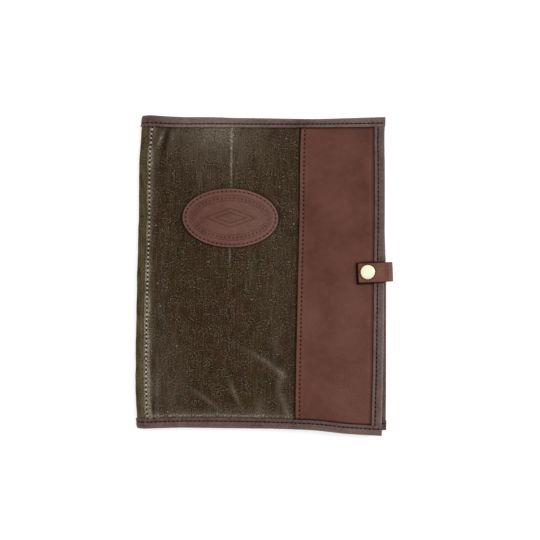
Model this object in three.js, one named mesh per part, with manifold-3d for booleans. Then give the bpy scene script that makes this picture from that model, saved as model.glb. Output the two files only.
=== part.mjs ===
// A closed padfolio lying on its back. Two waxed-canvas pieces are lapped and sewn beside a soft spine, a
// leather panel covers the fore edge, an oval leather patch sits on the front, leather tape binds every raw
// edge, and a leather tab with a brass snap holds the covers shut round the space for a letter-size pad.
// Millimetres: +X runs from the spine to the fore edge, +Y from the tail to the head, +Z up from the surface
// that it lies on.
import * as THREE from 'three';
import { mergeVertices } from 'three/addons/utils/BufferGeometryUtils.js';
import Module from 'manifold-3d';

const { lerp, smoothstep, clamp, degToRad } = THREE.MathUtils;
const wasm = await Module();
wasm.setup();

// Driving dimensions
const COVER = { width: 247, height: 313 }; // the closed front, over its binding
const GAP = 0.3; // clearance between sewn layers
const CANVAS = 1.5; // walls of the soft materials
const LEATHER = 1.6;
const TAPE = 1.0;
const FOLD = 1.8; // how far the folded tape stands out past a raw edge
const TAIL_LIP = 8.4; // how far the tape reaches in from a raw edge
const FORE_LIP = 8.6;
const PAD_ROOM = 13.4; // from the outside of the back canvas to the inside of the front cover
const SPINE_BULGE = 7;
// From the hinge line: the front canvas's edge, the back canvas's hidden end, and the leather panel's edge
const LAP = { edge: 1.5, underlap: 13 };
const PANEL_EDGE = 154;
const BACK = { fore: 126.7, head: -1.0, tail: -1.3 }; // back cover's fore edge, and its corners' drift
const PATCH = { x: -30.3, y: 56, length: 96, width: 59, thickness: 1.5, turn: -1 };
const SNAP = { x: 106.5, y: 1.8, cap: 7.4, dome: 1.8, barrel: 2, stud: 4.6, flange: 5.4, stand: 3.6 };
// From the snap: the tab's free end, the start of its bend, how far the bend reaches, and its sewn root
const TAB = { end: -9.5, bendStart: 18.5, reach: 26, root: -21.2, width: 19.5, thickness: 1.8, corner: 2.2 };
const TAB_TURN = 2.5; // the tab lies a little askew
const TAB_LOW = 0.6; // and the snap was set this far above the tab's middle line
const TAB_CLEAR = 0.3; // the tab's root lies just off the surface below

// How far the long sides stray from straight, by height from the tail (0) to the head (1): the spine, and the
// fore edges of the front and of the back.
const SIDES = [
  { at: 0.0, spine: -0.2, fore: -2.9, back: -0.6 },
  { at: 0.08, spine: -2.0, fore: -2.1, back: -0.2 },
  { at: 0.18, spine: -2.4, fore: -1.2, back: 0.0 },
  { at: 0.31, spine: -2.0, fore: -0.5, back: 0.0 },
  { at: 0.5, spine: -0.8, fore: 0.1, back: -0.4 },
  { at: 0.69, spine: 0.9, fore: 0.7, back: -1.8 },
  { at: 0.85, spine: 1.2, fore: 0.7, back: -2.0 },
  { at: 0.94, spine: 3.0, fore: 0.4, back: -2.1 },
  { at: 1.0, spine: 5.0, fore: 0.8, back: -1.9 },
];

// The same for the front cover's ends, by width from the hinge line (0) to the fore edge (1). The head's tape
// was sewn to a straight line, so headLip, its reach over the front, takes up what the edge strays.
const ENDS = [
  { at: 0.0, head: 2.6, tail: 1.5, headLip: 9.4 },
  { at: 0.13, head: 0.8, tail: 2.5, headLip: 8.2 },
  { at: 0.28, head: 0.5, tail: 2.7, headLip: 7.8 },
  { at: 0.42, head: -0.8, tail: 2.3, headLip: 6.8 },
  { at: 0.58, head: -1.4, tail: 1.3, headLip: 6.4 },
  { at: 0.72, head: -1.4, tail: 0.0, headLip: 6.4 },
  { at: 0.86, head: -0.5, tail: -3.5, headLip: 7.0 },
  { at: 1.0, head: 0.5, tail: -5.5, headLip: 7.8 },
];

// Broad swell and handling creases of the front cover. Each lies along a line turned from +Y towards +X.
const CREASES = [
  { x: -45, y: 0, turn: 0, along: 120, across: 60, height: 1.0 },
  { x: -96, y: 129, turn: 10, along: 24, across: 7, height: -0.7 },
  { x: 20, y: -109, turn: -14, along: 28, across: 8, height: 0.8 },
  { x: -24, y: -124, turn: -17, along: 18, across: 7, height: 0.6 },
  { x: -54, y: -125, turn: -49, along: 18, across: 7, height: 0.5 },
];

// Levels and reaches that follow from the sizes above
const LAYER = GAP + TAPE; // one more layer of tape in a pile
const BACK_LEVEL = LAYER; // outside of the back canvas: its tape lies on the surface
const FRONT_LEVEL = BACK_LEVEL + PAD_ROOM; // underside of the front canvas, less its gap
const HALF_DEPTH = PAD_ROOM / 2;
const SPINE_ARC = (Math.PI * (HALF_DEPTH + SPINE_BULGE)) / 2;
const RAW_HEIGHT = COVER.height - 2 * FOLD; // raw edges lie inside the folded tape
const FRONT_REACH = COVER.width - SPINE_BULGE - FOLD;
const BACK_REACH = BACK.fore + COVER.width / 2 - SPINE_BULGE - FOLD;
const BACK_END = -SPINE_ARC - BACK_REACH;
const CANVAS_TOP = GAP + CANVAS; // outer faces of the front's layers, above the front level
const PANEL_TOP = CANVAS_TOP + GAP + LEATHER;
const TAPE_STEP = 5; // the tape climbs onto a thicker pile over this length
const CORNER_RAMP = 12; // the back's corners lift over this length to rest their thicker pile
const END_LIP = Math.max(TAIL_LIP, ...ENDS.map((row) => row.headLip));

const spineDrift = column(SIDES, 'spine');
const foreDrift = column(SIDES, 'fore');
const backDrift = column(SIDES, 'back');
const headDrift = column(ENDS, 'head');
const tailDrift = column(ENDS, 'tail');
const headLip = column(ENDS, 'headLip');

// A table's column as a smooth function of its 'at' column.
function column(table, name) {
  const curve = new THREE.CubicInterpolant(
    table.map((row) => row.at),
    table.map((row) => row[name]),
    1,
  );
  return (at) => curve.evaluate(clamp(at, 0, 1))[0];
}

// Height of the front cover's swell and creases above its level.
function swell(x, y) {
  return CREASES.reduce((sum, crease) => {
    const turn = degToRad(crease.turn);
    const dx = x - crease.x;
    const dy = y - crease.y;
    const along = (dx * Math.sin(turn) + dy * Math.cos(turn)) / crease.along;
    const across = (dx * Math.cos(turn) - dy * Math.sin(turn)) / crease.across;
    return sum + crease.height * Math.exp(-(along * along) - across * across);
  }, 0);
}

// Falls smoothly from 1 up to 'near' to 0 at 'far'.
function fade(distance, near, far) {
  return 1 - smoothstep(distance, near, far);
}

// How far the back cover is lifted off its level: over the tab's root, and at the corners where one tape
// crosses another.
function backLift(y, inFromFore, inFromEnd) {
  const root = TAB.thickness + TAB_CLEAR + GAP;
  const overTab = fade(Math.abs(y - SNAP.y), TAB.width / 2 + 3, 75) * fade(inFromFore, FORE_LIP + 3, 90);
  const atCorner = fade(inFromFore, FORE_LIP, FORE_LIP + CORNER_RAMP)
    * fade(inFromEnd, END_LIP, END_LIP + CORNER_RAMP);
  return root * overTab + LAYER * atCorner;
}

// A point of the folded cover. 'girth' runs round it from the back's fore edge to the front's, with 0 at the
// front's hinge line; 'up' runs from the tail's raw edge to the head's; 'out' is the distance outside the
// back canvas.
function coverPoint(girth, up, out) {
  const rise = up / RAW_HEIGHT;
  const hinge = -COVER.width / 2 + spineDrift(rise) + SPINE_BULGE;
  const tailEdge = -COVER.height / 2 + FOLD;
  const headEdge = COVER.height / 2 - FOLD;
  if (girth >= 0) {
    const across = girth / FRONT_REACH;
    const x = lerp(hinge, COVER.width / 2 + foreDrift(rise) - FOLD, across);
    const y = lerp(tailEdge + tailDrift(across), headEdge + headDrift(across), rise);
    return new THREE.Vector3(x, y, FRONT_LEVEL + out + swell(x, y) * smoothstep(girth, 0, LAP.underlap));
  }
  if (girth > -SPINE_ARC) {
    const turn = (-girth / SPINE_ARC) * Math.PI;
    return new THREE.Vector3(
      hinge - (SPINE_BULGE + out) * Math.sin(turn),
      lerp(tailEdge + tailDrift(0), headEdge + headDrift(0), rise),
      BACK_LEVEL + HALF_DEPTH + (HALF_DEPTH + out) * Math.cos(turn),
    );
  }
  const across = (-SPINE_ARC - girth) / BACK_REACH;
  const x = lerp(hinge, BACK.fore + backDrift(rise) - FOLD, across);
  const y = lerp(
    tailEdge + lerp(tailDrift(0), BACK.tail, across),
    headEdge + lerp(headDrift(0), BACK.head, across),
    rise,
  );
  const lift = backLift(y, (1 - across) * BACK_REACH, Math.min(up, RAW_HEIGHT - up));
  return new THREE.Vector3(x, y, BACK_LEVEL - out + lift);
}

// Stations: evenly spaced values from one place to another, both ends included.
function spaced(from, to, count) {
  return Array.from({ length: count + 1 }, (_, i) => lerp(from, to, i / count));
}

const UP = [
  0,
  END_LIP,
  ...spaced(END_LIP + CORNER_RAMP, RAW_HEIGHT - END_LIP - CORNER_RAMP, 15),
  RAW_HEIGHT - END_LIP,
  RAW_HEIGHT,
];
const SPINE_STATIONS = spaced(-SPINE_ARC, 0, 8);
const BACK_STATIONS = [
  BACK_END,
  BACK_END + FORE_LIP,
  BACK_END + FORE_LIP + TAPE_STEP,
  ...spaced(BACK_END + FORE_LIP + CORNER_RAMP, -SPINE_ARC - 10, 8),
];
const FRONT_STATIONS = [
  LAP.edge,
  LAP.edge + TAPE_STEP,
  LAP.underlap,
  LAP.underlap + TAPE_STEP,
  ...spaced(LAP.underlap + 2 * TAPE_STEP, PANEL_EDGE - TAPE_STEP, 10),
  PANEL_EDGE,
  ...spaced(PANEL_EDGE + 15, FRONT_REACH - FORE_LIP - TAPE_STEP, 4),
  FRONT_REACH - FORE_LIP,
  FRONT_REACH,
];

// Closed solids

// Keeps only a geometry's shape, with shared corners, and moves each corner to the place 'move' gives.
function reshape(geometry, move) {
  geometry.deleteAttribute('normal');
  geometry.deleteAttribute('uv');
  const shape = mergeVertices(geometry);
  const corners = shape.getAttribute('position');
  const corner = new THREE.Vector3();
  for (let i = 0; i < corners.count; i += 1) {
    corner.fromBufferAttribute(corners, i);
    const moved = move(corner);
    corners.setXYZ(i, moved.x, moved.y, moved.z);
  }
  shape.computeVertexNormals();
  return shape;
}

// A wall with a row and a column of facets between each two stations. 'at' places each corner by its column,
// row and layer (0 or 1).
function gridSolid(columns, rows, at) {
  const box = new THREE.BoxGeometry(columns, rows, 1, columns, rows, 1);
  box.translate(columns / 2, rows / 2, 0.5);
  return reshape(box, ({ x, y, z }) => at(Math.round(x), Math.round(y), Math.round(z)));
}

// A sewn layer of the cover: the stretch of girth between stations, from 'inner' to 'outer'.
function coverLayer(stations, inner, outer) {
  return gridSolid(stations.length - 1, UP.length - 1, (i, j, k) =>
    coverPoint(stations[i], UP[j], k ? outer : inner));
}

// A solid of revolution about +Z from a profile of [radius, height] pairs that starts and ends on the axis.
function turned(profile, sides) {
  const lathe = new THREE.LatheGeometry(profile.map(([r, z]) => new THREE.Vector2(r, z)), sides);
  return reshape(lathe.rotateX(Math.PI / 2), (corner) => corner);
}

function toManifold(geometry) {
  return new wasm.Manifold(new wasm.Mesh({
    numProp: 3,
    vertProperties: geometry.getAttribute('position').array,
    triVerts: new Uint32Array(geometry.index.array),
  }));
}

function cut(geometry, tool) {
  const mesh = toManifold(geometry).subtract(toManifold(tool)).getMesh();
  const result = new THREE.BufferGeometry();
  result.setAttribute('position', new THREE.BufferAttribute(mesh.vertProperties, 3));
  result.setIndex(new THREE.BufferAttribute(mesh.triVerts, 1));
  result.computeVertexNormals();
  return result;
}

// Binding tape

// The tape's section, folded round a raw edge. Across, -1 is the end of its lips and 0 the raw edge, and the
// fold stands out in millimetres. Up, 1 and 2 are the two faces of the outer lip, and -1 and -2 those of the
// inner lip.
function tapeSection() {
  const section = new THREE.Shape();
  section.moveTo(-1, 1);
  section.lineTo(-1, 2);
  section.lineTo(0, 2);
  section.absellipse(0, 0, FOLD, 2, Math.PI / 2, -Math.PI / 2, true);
  section.lineTo(-1, -2);
  section.lineTo(-1, -1);
  section.lineTo(0, -1);
  section.absellipse(0, 0, FOLD - TAPE, 1, -Math.PI / 2, Math.PI / 2, false);
  return section;
}

// Where a face of the tape lies on a pile of layers that reaches from 'inner' to 'outer'.
function tapeLevel(face, pile) {
  const low = pile.inner - GAP;
  const high = pile.outer + GAP;
  if (face >= 1) return high + (face - 1) * TAPE;
  if (face <= -1) return low + (face + 1) * TAPE;
  return lerp(low, high, (face + 1) / 2);
}

// Tape sewn along an edge. For each station, 'lipAt' gives its reach and 'pileAt' the layers it holds, and
// 'at' places a point by station, distance out past the raw edge, and level.
function tape(stations, lipAt, pileAt, at) {
  const steps = stations.length - 1;
  const strip = new THREE.ExtrudeGeometry(tapeSection(), {
    steps, depth: steps, curveSegments: 3, bevelEnabled: false,
  });
  return reshape(strip, ({ x, y, z }) => {
    const station = stations[Math.round(z)];
    const past = x < 0 ? x * lipAt(station) : x;
    return at(station, past, tapeLevel(y, pileAt(station)));
  });
}

// Layers under the head and tail tape at a place on the girth. It climbs ahead of each thicker stretch.
function endPile(girth) {
  const climb = (edge) => clamp((girth - edge) / TAPE_STEP + 1, 0, 1);
  const backTape = clamp((BACK_END + FORE_LIP - girth) / TAPE_STEP + 1, 0, 1);
  const foreTape = climb(FRONT_REACH - FORE_LIP);
  const pastLap = clamp((girth - LAP.underlap) / TAPE_STEP, 0, 1);
  return {
    outer: CANVAS_TOP * climb(LAP.edge) + (PANEL_TOP - CANVAS_TOP) * climb(PANEL_EDGE)
      + LAYER * (foreTape + backTape),
    inner: lerp(-CANVAS, GAP, pastLap) - LAYER * (foreTape + backTape),
  };
}

// The tape's cut ends stand just past the fold of the fore-edge tape that it crosses.
const END_STATIONS = [
  BACK_END - FOLD - GAP,
  ...BACK_STATIONS,
  ...SPINE_STATIONS,
  LAP.edge - TAPE_STEP,
  ...FRONT_STATIONS,
  FRONT_REACH + FOLD + GAP,
].sort((a, b) => a - b);

function headTape() {
  const lipAt = (girth) => headLip(girth / FRONT_REACH);
  return tape(END_STATIONS, lipAt, endPile, (girth, past, out) =>
    coverPoint(girth, RAW_HEIGHT + past, out));
}

function tailTape() {
  return tape([...END_STATIONS].reverse(), () => TAIL_LIP, endPile, (girth, past, out) =>
    coverPoint(girth, -past, out));
}

function foreFrontTape() {
  const pile = { outer: PANEL_TOP, inner: GAP };
  return tape([...UP].reverse(), () => FORE_LIP, () => pile, (up, past, out) =>
    coverPoint(FRONT_REACH + past, up, out));
}

function foreBackTape() {
  const pile = { outer: 0, inner: -CANVAS };
  return tape(UP, () => FORE_LIP, () => pile, (up, past, out) => coverPoint(BACK_END - past, up, out));
}

// Patch, snap and tab

function ovalPatch() {
  const rings = [0.35, 0.7, 1];
  const base = CANVAS_TOP + GAP;
  const profile = [
    [0, 0],
    ...rings.map((r) => [r, 0]),
    ...rings.toReversed().map((r) => [r, 1]),
    [0, 1],
  ];
  const turn = degToRad(PATCH.turn);
  return reshape(turned(profile, 48), ({ x, y, z }) => {
    const along = (x * PATCH.length) / 2;
    const across = (y * PATCH.width) / 2;
    const px = PATCH.x + along * Math.cos(turn) - across * Math.sin(turn);
    const py = PATCH.y + along * Math.sin(turn) + across * Math.cos(turn);
    return new THREE.Vector3(px, py, FRONT_LEVEL + base + z * PATCH.thickness + swell(px, py));
  });
}

const TAB_UNDERSIDE = FRONT_LEVEL + PANEL_TOP + SNAP.stand;

// Stations of the tab's middle line from its free end, over the front, round the fore edge and back to its
// root. Each has its place, the way its outer face looks, and its half width, which rounds the corners at
// both ends.
function tabStations() {
  const top = TAB_UNDERSIDE + TAB.thickness / 2;
  const bottom = TAB_CLEAR + TAB.thickness / 2;
  const middle = (top + bottom) / 2;
  const depth = (top - bottom) / 2;
  const bulge = TAB.reach - TAB.thickness / 2 - TAB.bendStart;
  const half = TAB.width / 2;
  const corner = spaced(0, Math.PI / 2, 4).map((angle) => ({
    in: TAB.corner * (1 - Math.cos(angle)),
    half: half - TAB.corner * (1 - Math.sin(angle)),
  }));
  const end = (x, z, look) => corner.map((c) => ({ x: x + c.in, z, out: [0, look], half: c.half }));
  const free = end(TAB.end, top, 1);
  const root = end(TAB.root, bottom, -1).toReversed();
  const bend = spaced(0, Math.PI, 12).map((turn) => {
    const out = new THREE.Vector2(Math.sin(turn) / bulge, Math.cos(turn) / depth).normalize();
    return {
      x: TAB.bendStart + bulge * Math.sin(turn),
      z: middle + depth * Math.cos(turn),
      out: out.toArray(),
      half,
    };
  });
  return [...free, ...bend, ...root];
}

function snapTab() {
  const stations = tabStations();
  const strap = gridSolid(stations.length - 1, 2, (i, j, k) => {
    const { x, z, out, half } = stations[i];
    const off = (k - 0.5) * TAB.thickness;
    return new THREE.Vector3(x + out[0] * off, (j - 1) * half - TAB_LOW, z + out[1] * off);
  });
  const hole = new THREE.CylinderGeometry(SNAP.barrel + GAP, SNAP.barrel + GAP, 3 * TAB.thickness, 16);
  hole.rotateX(Math.PI / 2).translate(0, 0, TAB_UNDERSIDE + TAB.thickness / 2);
  return cut(strap, reshape(hole, (corner) => corner));
}

// The brass cap: a shallow dome with a rolled rim, and the barrel that passes through the tab.
function snapCap() {
  const rim = 0.6;
  const crown = SNAP.dome - rim;
  const dome = spaced(0, 1, 4).map((t) => [(SNAP.cap - rim / 2) * (1 - t), rim + crown * t * (2 - t)]);
  return turned([
    [0, -TAB.thickness],
    [SNAP.barrel, -TAB.thickness],
    [SNAP.barrel, 0],
    [SNAP.cap - rim / 2, 0],
    [SNAP.cap, rim / 2],
    ...dome,
  ], 28);
}

// The hidden socket and stud between the tab and the panel, as one plain piece.
function snapStud() {
  const height = SNAP.stand - 2 * GAP;
  const flange = 0.8;
  return turned([
    [0, 0],
    [SNAP.flange, 0],
    [SNAP.flange, flange],
    [SNAP.stud, flange],
    [SNAP.stud, height],
    [0, height],
  ], 20);
}

// Finishes
const finish = (color, roughness, metalness = 0) =>
  new THREE.MeshStandardMaterial({ color, roughness, metalness });
const waxedCanvas = finish(0x41352a, 0.75);
const brownLeather = finish(0x633f36, 0.55);
const patchLeather = finish(0x68483f, 0.6);
const bindingLeather = finish(0x5f4d4a, 0.5);
const brass = finish(0xe6d79a, 0.25, 1);

function piece(name, geometry, material) {
  const mesh = new THREE.Mesh(geometry, material);
  mesh.name = name;
  return mesh;
}

// Assembly
const backGirth = [...BACK_STATIONS, ...SPINE_STATIONS, LAP.edge, LAP.edge + TAPE_STEP, LAP.underlap];
const panelGirth = FRONT_STATIONS.filter((girth) => girth >= PANEL_EDGE);

const cover = new THREE.Group();
cover.add(
  piece('front_canvas', coverLayer(FRONT_STATIONS, GAP, CANVAS_TOP), waxedCanvas),
  piece('back_canvas', coverLayer(backGirth, -CANVAS, 0), waxedCanvas),
  piece('leather_panel', coverLayer(panelGirth, CANVAS_TOP + GAP, PANEL_TOP), brownLeather),
  piece('oval_patch', ovalPatch(), patchLeather),
  piece('binding_head', headTape(), bindingLeather),
  piece('binding_tail', tailTape(), bindingLeather),
  piece('binding_fore_front', foreFrontTape(), bindingLeather),
  piece('binding_fore_back', foreBackTape(), bindingLeather),
);

const cap = piece('snap_cap', snapCap(), brass);
cap.position.z = TAB_UNDERSIDE + TAB.thickness + GAP;
const stud = piece('snap_stud', snapStud(), brass);
stud.position.z = FRONT_LEVEL + PANEL_TOP + GAP;

const fastening = new THREE.Group();
fastening.add(piece('snap_tab', snapTab(), brownLeather), cap, stud);
fastening.position.set(SNAP.x, SNAP.y, 0);
fastening.rotation.z = degToRad(TAB_TURN);

// The origin lies under the middle of the whole, on the surface.
const folio = new THREE.Group();
folio.add(cover, fastening);
folio.updateMatrixWorld(true);
const reach = new THREE.Box3().setFromObject(folio, true);
const middle = reach.getCenter(new THREE.Vector3());
folio.position.set(-middle.x, -middle.y, -reach.min.z);

export default folio;
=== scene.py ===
"""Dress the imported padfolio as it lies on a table: waxed canvas, sewn leather, bound edges and a brass snap.

Sizes are in millimetres, as on a maker's pattern. A mesh is written in metres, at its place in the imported
frame.
"""
import logging
import math
from dataclasses import dataclass
from enum import Enum
from functools import partial
from typing import Callable, ClassVar

import bpy
import numpy as np
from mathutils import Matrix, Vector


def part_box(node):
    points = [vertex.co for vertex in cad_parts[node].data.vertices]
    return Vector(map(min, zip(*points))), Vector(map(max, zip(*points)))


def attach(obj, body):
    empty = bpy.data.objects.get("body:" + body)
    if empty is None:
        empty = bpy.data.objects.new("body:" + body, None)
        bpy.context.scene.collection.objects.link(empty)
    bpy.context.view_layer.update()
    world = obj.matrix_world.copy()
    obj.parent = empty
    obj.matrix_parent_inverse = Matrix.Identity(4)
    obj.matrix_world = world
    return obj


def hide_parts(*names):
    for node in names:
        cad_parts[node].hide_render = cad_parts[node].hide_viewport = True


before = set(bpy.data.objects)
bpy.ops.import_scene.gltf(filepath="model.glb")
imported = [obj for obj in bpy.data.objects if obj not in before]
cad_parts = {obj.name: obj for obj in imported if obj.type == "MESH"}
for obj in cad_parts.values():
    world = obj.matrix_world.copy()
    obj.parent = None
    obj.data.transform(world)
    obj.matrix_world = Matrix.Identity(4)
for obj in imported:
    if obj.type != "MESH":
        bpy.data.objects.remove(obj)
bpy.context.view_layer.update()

Array = np.ndarray
Object = bpy.types.Object
Socket = bpy.types.NodeSocket
Tree = bpy.types.NodeTree
Inputs = dict[str | int, object]
Profile = tuple[tuple[float, float], ...]
Add = Callable[..., Socket]  # adds a node to one material
Ways = dict[str, tuple[Array, ...]]  # places on each way of a piece, by name
SeamPlace = Callable[[Array, float], Array]  # gives points for distances along a seam and a lift

MM = 0.001
PATTERN = "pattern"  # UV map of a piece: its cutting pattern, in metres
WEAR_AND_HIGHLIGHT = "wear"  # attribute of a piece, from 0 to 1: how far its surface is rubbed pale, and where highlights and sheen are painted on
SOIL_AND_SHADE = "soil"  # attribute of a piece, from 0 to 1: how far wax and dirt have gathered, and where shade is painted on beside raised parts, at lips and edges and in folds
PITCH = 4.4  # length of a machine stitch with its needle hole
SMOOTH_ANGLE = 50  # degrees between two faces, above which their edge stays sharp
log = logging.getLogger("padfolio")


def linear(colour: str) -> tuple[float, float, float, float]:
    """Turn an sRGB hex colour to linear.

    Args:
        colour: a hash sign and six hex digits.

    Returns:
        Linear red, green and blue, and an alpha of 1.
    """
    channels = [int(colour[i:i + 2], 16) / 255 for i in (1, 3, 5)]
    red, green, blue = (c / 12.92 if c <= 0.04045 else ((c + 0.055) / 1.055) ** 2.4 for c in channels)
    return red, green, blue, 1.0


def per_mm(size: float) -> float:
    """Give the texture scale, in repeats to the metre, of a pattern of this size in millimetres."""
    return 1 / (size * MM)


def smooth(value: Array, start: float, full: float) -> Array:
    """Go smoothly from 0 at the start to 1 where it is full, whichever of them is higher."""
    part = np.clip((value - start) / (full - start), 0, 1)
    return part * part * (3 - 2 * part)


def bell(value: Array, middle: float, width: float) -> Array:
    """Give a bell curve of height 1."""
    return np.exp(-(((value - middle) / width) ** 2))


def turned(x: Array, y: Array, degrees: float) -> tuple[Array, Array]:
    """Turn places about the origin, from +X towards +Y."""
    cosine, sine = math.cos(math.radians(degrees)), math.sin(math.radians(degrees))
    return x * cosine - y * sine, x * sine + y * cosine


def rounding(inset: Array, radius: float) -> Array:
    """Give how far a rounded edge has dropped at an inset from the edge.

    Args:
        inset: distances in from the edge.
        radius: radius of the rounding.

    Returns:
        The drop, from the radius at the edge itself to 0 where the rounding ends.
    """
    short = np.clip(1 - inset / radius, 0, 1)
    return radius * (1 - np.sqrt(1 - short * short))


def run(start: float, *legs: tuple[float, float]) -> Array:
    """Lay out stations in legs.

    Args:
        start: the first station.
        legs: the end of each leg and its widest step.

    Returns:
        The stations, all ends included.
    """
    stations = [start]
    for end, step in legs:
        count = max(1, math.ceil(abs(end - stations[-1]) / step - 1e-6))
        stations.extend(np.linspace(stations[-1], end, count + 1)[1:])
    return np.array(stations, dtype=float)


# Shapes of relief, wear and soil


@dataclass(frozen=True)
class Band:
    """A soft band along a seam or an edge."""

    middle: float
    width: float
    strength: float = 1.0

    def at(self, where: Array) -> Array:
        """Give the band's strength at places across it."""
        return self.strength * bell(where, self.middle, self.width)


@dataclass(frozen=True)
class Ramp:
    """A soft step, from nothing at its start to its full strength."""

    start: float
    full: float
    strength: float = 1.0

    def at(self, where: Array) -> Array:
        """Give the step's strength at places across it."""
        return self.strength * smooth(where, self.start, self.full)


@dataclass(frozen=True)
class Level:
    """An even strength."""

    strength: float

    def at(self, *place: Array) -> float:
        """Give the strength, which is the same at every place."""
        return self.strength


@dataclass(frozen=True)
class Share:
    """A share of a way that is a strength itself."""

    share: float

    def at(self, where: Array) -> Array:
        """Give the share at places."""
        return self.share * where


@dataclass(frozen=True)
class Wave:
    """A ripple, whose way is turned from the first way of its places towards the second."""

    length: float
    turn: float
    height: float
    phase: float

    def at(self, first: Array, second: Array | float = 0.0) -> Array:
        """Give the ripple's height at places."""
        way = turned(first, second, -self.turn)[0]
        return self.height * np.sin(2 * math.pi * way / self.length + self.phase)


@dataclass(frozen=True)
class Mark:
    """A crease or a scuff of the front cover: a soft line, turned from +Y towards +X."""

    x: float
    y: float
    turn: float
    along: float
    across: float
    strength: float
    ends: int = 2  # 2 for a long soft end, 4 for a short one

    def at(self, x: Array, y: Array) -> Array:
        """Give the mark's strength at places on the cover."""
        across, along = turned(x - self.x, y - self.y, self.turn)
        return self.strength * np.exp(-((along / self.along) ** self.ends) - (across / self.across) ** 2)


@dataclass(frozen=True)
class Column:
    """A column of measured stations, read as a smooth curve."""

    stations: tuple[float, ...]
    values: tuple[float, ...]

    def at(self, where: Array) -> Array:
        """Read the curve.

        Args:
            where: places between the first and the last station.

        Returns:
            The curve's value at each.
        """
        knots, values = np.array(self.stations), np.array(self.values)
        steps = np.diff(knots)
        slopes = np.diff(values) / steps
        slopes = np.concatenate([slopes[:1], (slopes[1:] + slopes[:-1]) / 2, slopes[-1:]])
        here = np.clip(where, knots[0], knots[-1])
        leg = np.clip(np.searchsorted(knots, here, side="right") - 1, 0, len(steps) - 1)
        part = (here - knots[leg]) / steps[leg]
        left = 1 - part
        through = values[leg] * (1 + 2 * part) * left**2 + values[leg + 1] * (3 - 2 * part) * part**2
        return through + steps[leg] * part * left * (slopes[leg] * left - slopes[leg + 1] * part)


Shape = Band | Ramp | Level | Share | Wave | Mark
Sum = tuple[str, tuple[Shape, ...]]
Terms = tuple[tuple[Sum, ...], ...]  # a term is a product of sums


def total(shapes: tuple[Shape, ...], *place: Array) -> Array:
    """Add up shapes at places."""
    return sum(shape.at(*place) for shape in shapes)


def on(way: str, *shapes: Shape) -> Sum:
    """Name the way of a piece on which shapes are read and added up."""
    return way, shapes


def blend(terms: Terms, ways: Ways) -> Array:
    """Add up terms at the places on a piece's ways."""
    return sum(math.prod(total(shapes, *ways[way]) for way, shapes in term) for term in terms)


SIDE_STATIONS = (0, 0.08, 0.18, 0.31, 0.5, 0.69, 0.85, 0.94, 1)
SPINE_DRIFT = Column(SIDE_STATIONS, (-0.2, -2, -2.4, -2, -0.8, 0.9, 1.2, 3, 5))
FORE_DRIFT = Column(SIDE_STATIONS, (-2.9, -2.1, -1.2, -0.5, 0.1, 0.7, 0.7, 0.4, 0.8))
BACK_DRIFT = Column(SIDE_STATIONS, (-0.6, -0.2, 0, 0, -0.4, -1.8, -2, -2.1, -1.9))
END_STATIONS = (0, 0.13, 0.28, 0.42, 0.58, 0.72, 0.86, 1)
HEAD_DRIFT = Column(END_STATIONS, (2.6, 0.8, 0.5, -0.8, -1.4, -1.4, -0.5, 0.5))
TAIL_DRIFT = Column(END_STATIONS, (1.5, 2.5, 2.7, 2.3, 1.3, 0, -3.5, -5.5))
HEAD_LIP = Column(END_STATIONS, (9.4, 8.9, 8.5, 7.5, 7, 7, 7.5, 8))

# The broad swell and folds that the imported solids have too
SWELL = (
    Mark(-45, 0, 0, 120, 60, 1.0),
    Mark(-96, 129, 10, 24, 7, -0.7),
    Mark(20, -109, -14, 28, 8, 0.8),
    Mark(-24, -124, -17, 18, 7, 0.6),
    Mark(-54, -125, -49, 18, 7, 0.5),
)
# Sharp crests of the folds, which only the dressed cloth has
CRESTS = (
    Mark(-96.8, 130, 15, 19, 2.1, -1.3),
    Mark(-101.5, 132, 16, 15, 2.2, 0.6),
    Mark(15.5, -77, -4, 17, 3.0, 0.35),
    Mark(24, -120, -14, 24, 2.8, 0.6, 4),
    Mark(-24.5, -123, -24, 17, 2.4, 0.5, 4),
    Mark(-55.5, -124.6, -53, 19, 2.2, 0.45, 4),
    Mark(-29, 117, 0.6, 34, 0.9, 0.12, 4),
)
# Pale places: rubbed creases and edges, painted highlights along the crease ridges, and over the head a broad
# pale zone that is partly faded wax and partly a painted sheen
SCUFFS_AND_HIGHLIGHTS = (
    # the pale zone over the head: partly faded wax, partly a painted sheen of the overhead light
    Mark(-42, 147, 90, 44, 38, 0.75),
    Mark(-29.3, 117, 0.6, 36, 0.95, 1.05, 4),
    Mark(-30.9, 19, 0, 9, 1.1, 1.0, 4),
    Mark(15.5, -77, -3, 14, 2.2, 0.35),
    Mark(3.5, -86.5, -54.7, 15, 2.6, 0.5, 4),
    Mark(-10, -79, -60, 20, 2.6, 0.28, 4),
    Mark(20.5, -99, -50, 8, 3.2, 0.65),
    Mark(19.5, -108, 8, 9, 4.0, 0.5),
    Mark(23.5, -129, -21, 16, 3.4, 0.6, 4),
    Mark(-24.5, -123, -24, 16, 2.0, 0.72, 4),
    Mark(-55.5, -124.6, -53, 18, 1.9, 0.62, 4),
    Mark(-38, -142, 90, 76, 5.5, 0.5, 4),
    Mark(-1, -133, 0, 11, 5.5, 0.4),
    Mark(-88, -110, 0, 40, 12, 0.3),
    Mark(-100.5, 134, 22, 11, 1.8, 0.8),
    Mark(-111.5, -122, 0, 26, 3.2, 0.3),
    Mark(-103, -118, 0, 34, 2.6, 0.5),
    Mark(-98, -36, 0, 50, 4, 0.2),
    Mark(-94, 96, 0, 9, 3, 0.22),
    Mark(-88.5, 136, 3, 12, 2.0, 0.4),
    Mark(15, 0, 0, 90, 16, 0.12),
    Mark(-9.3, 2, -8, 13, 2.2, 0.3),
)
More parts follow.
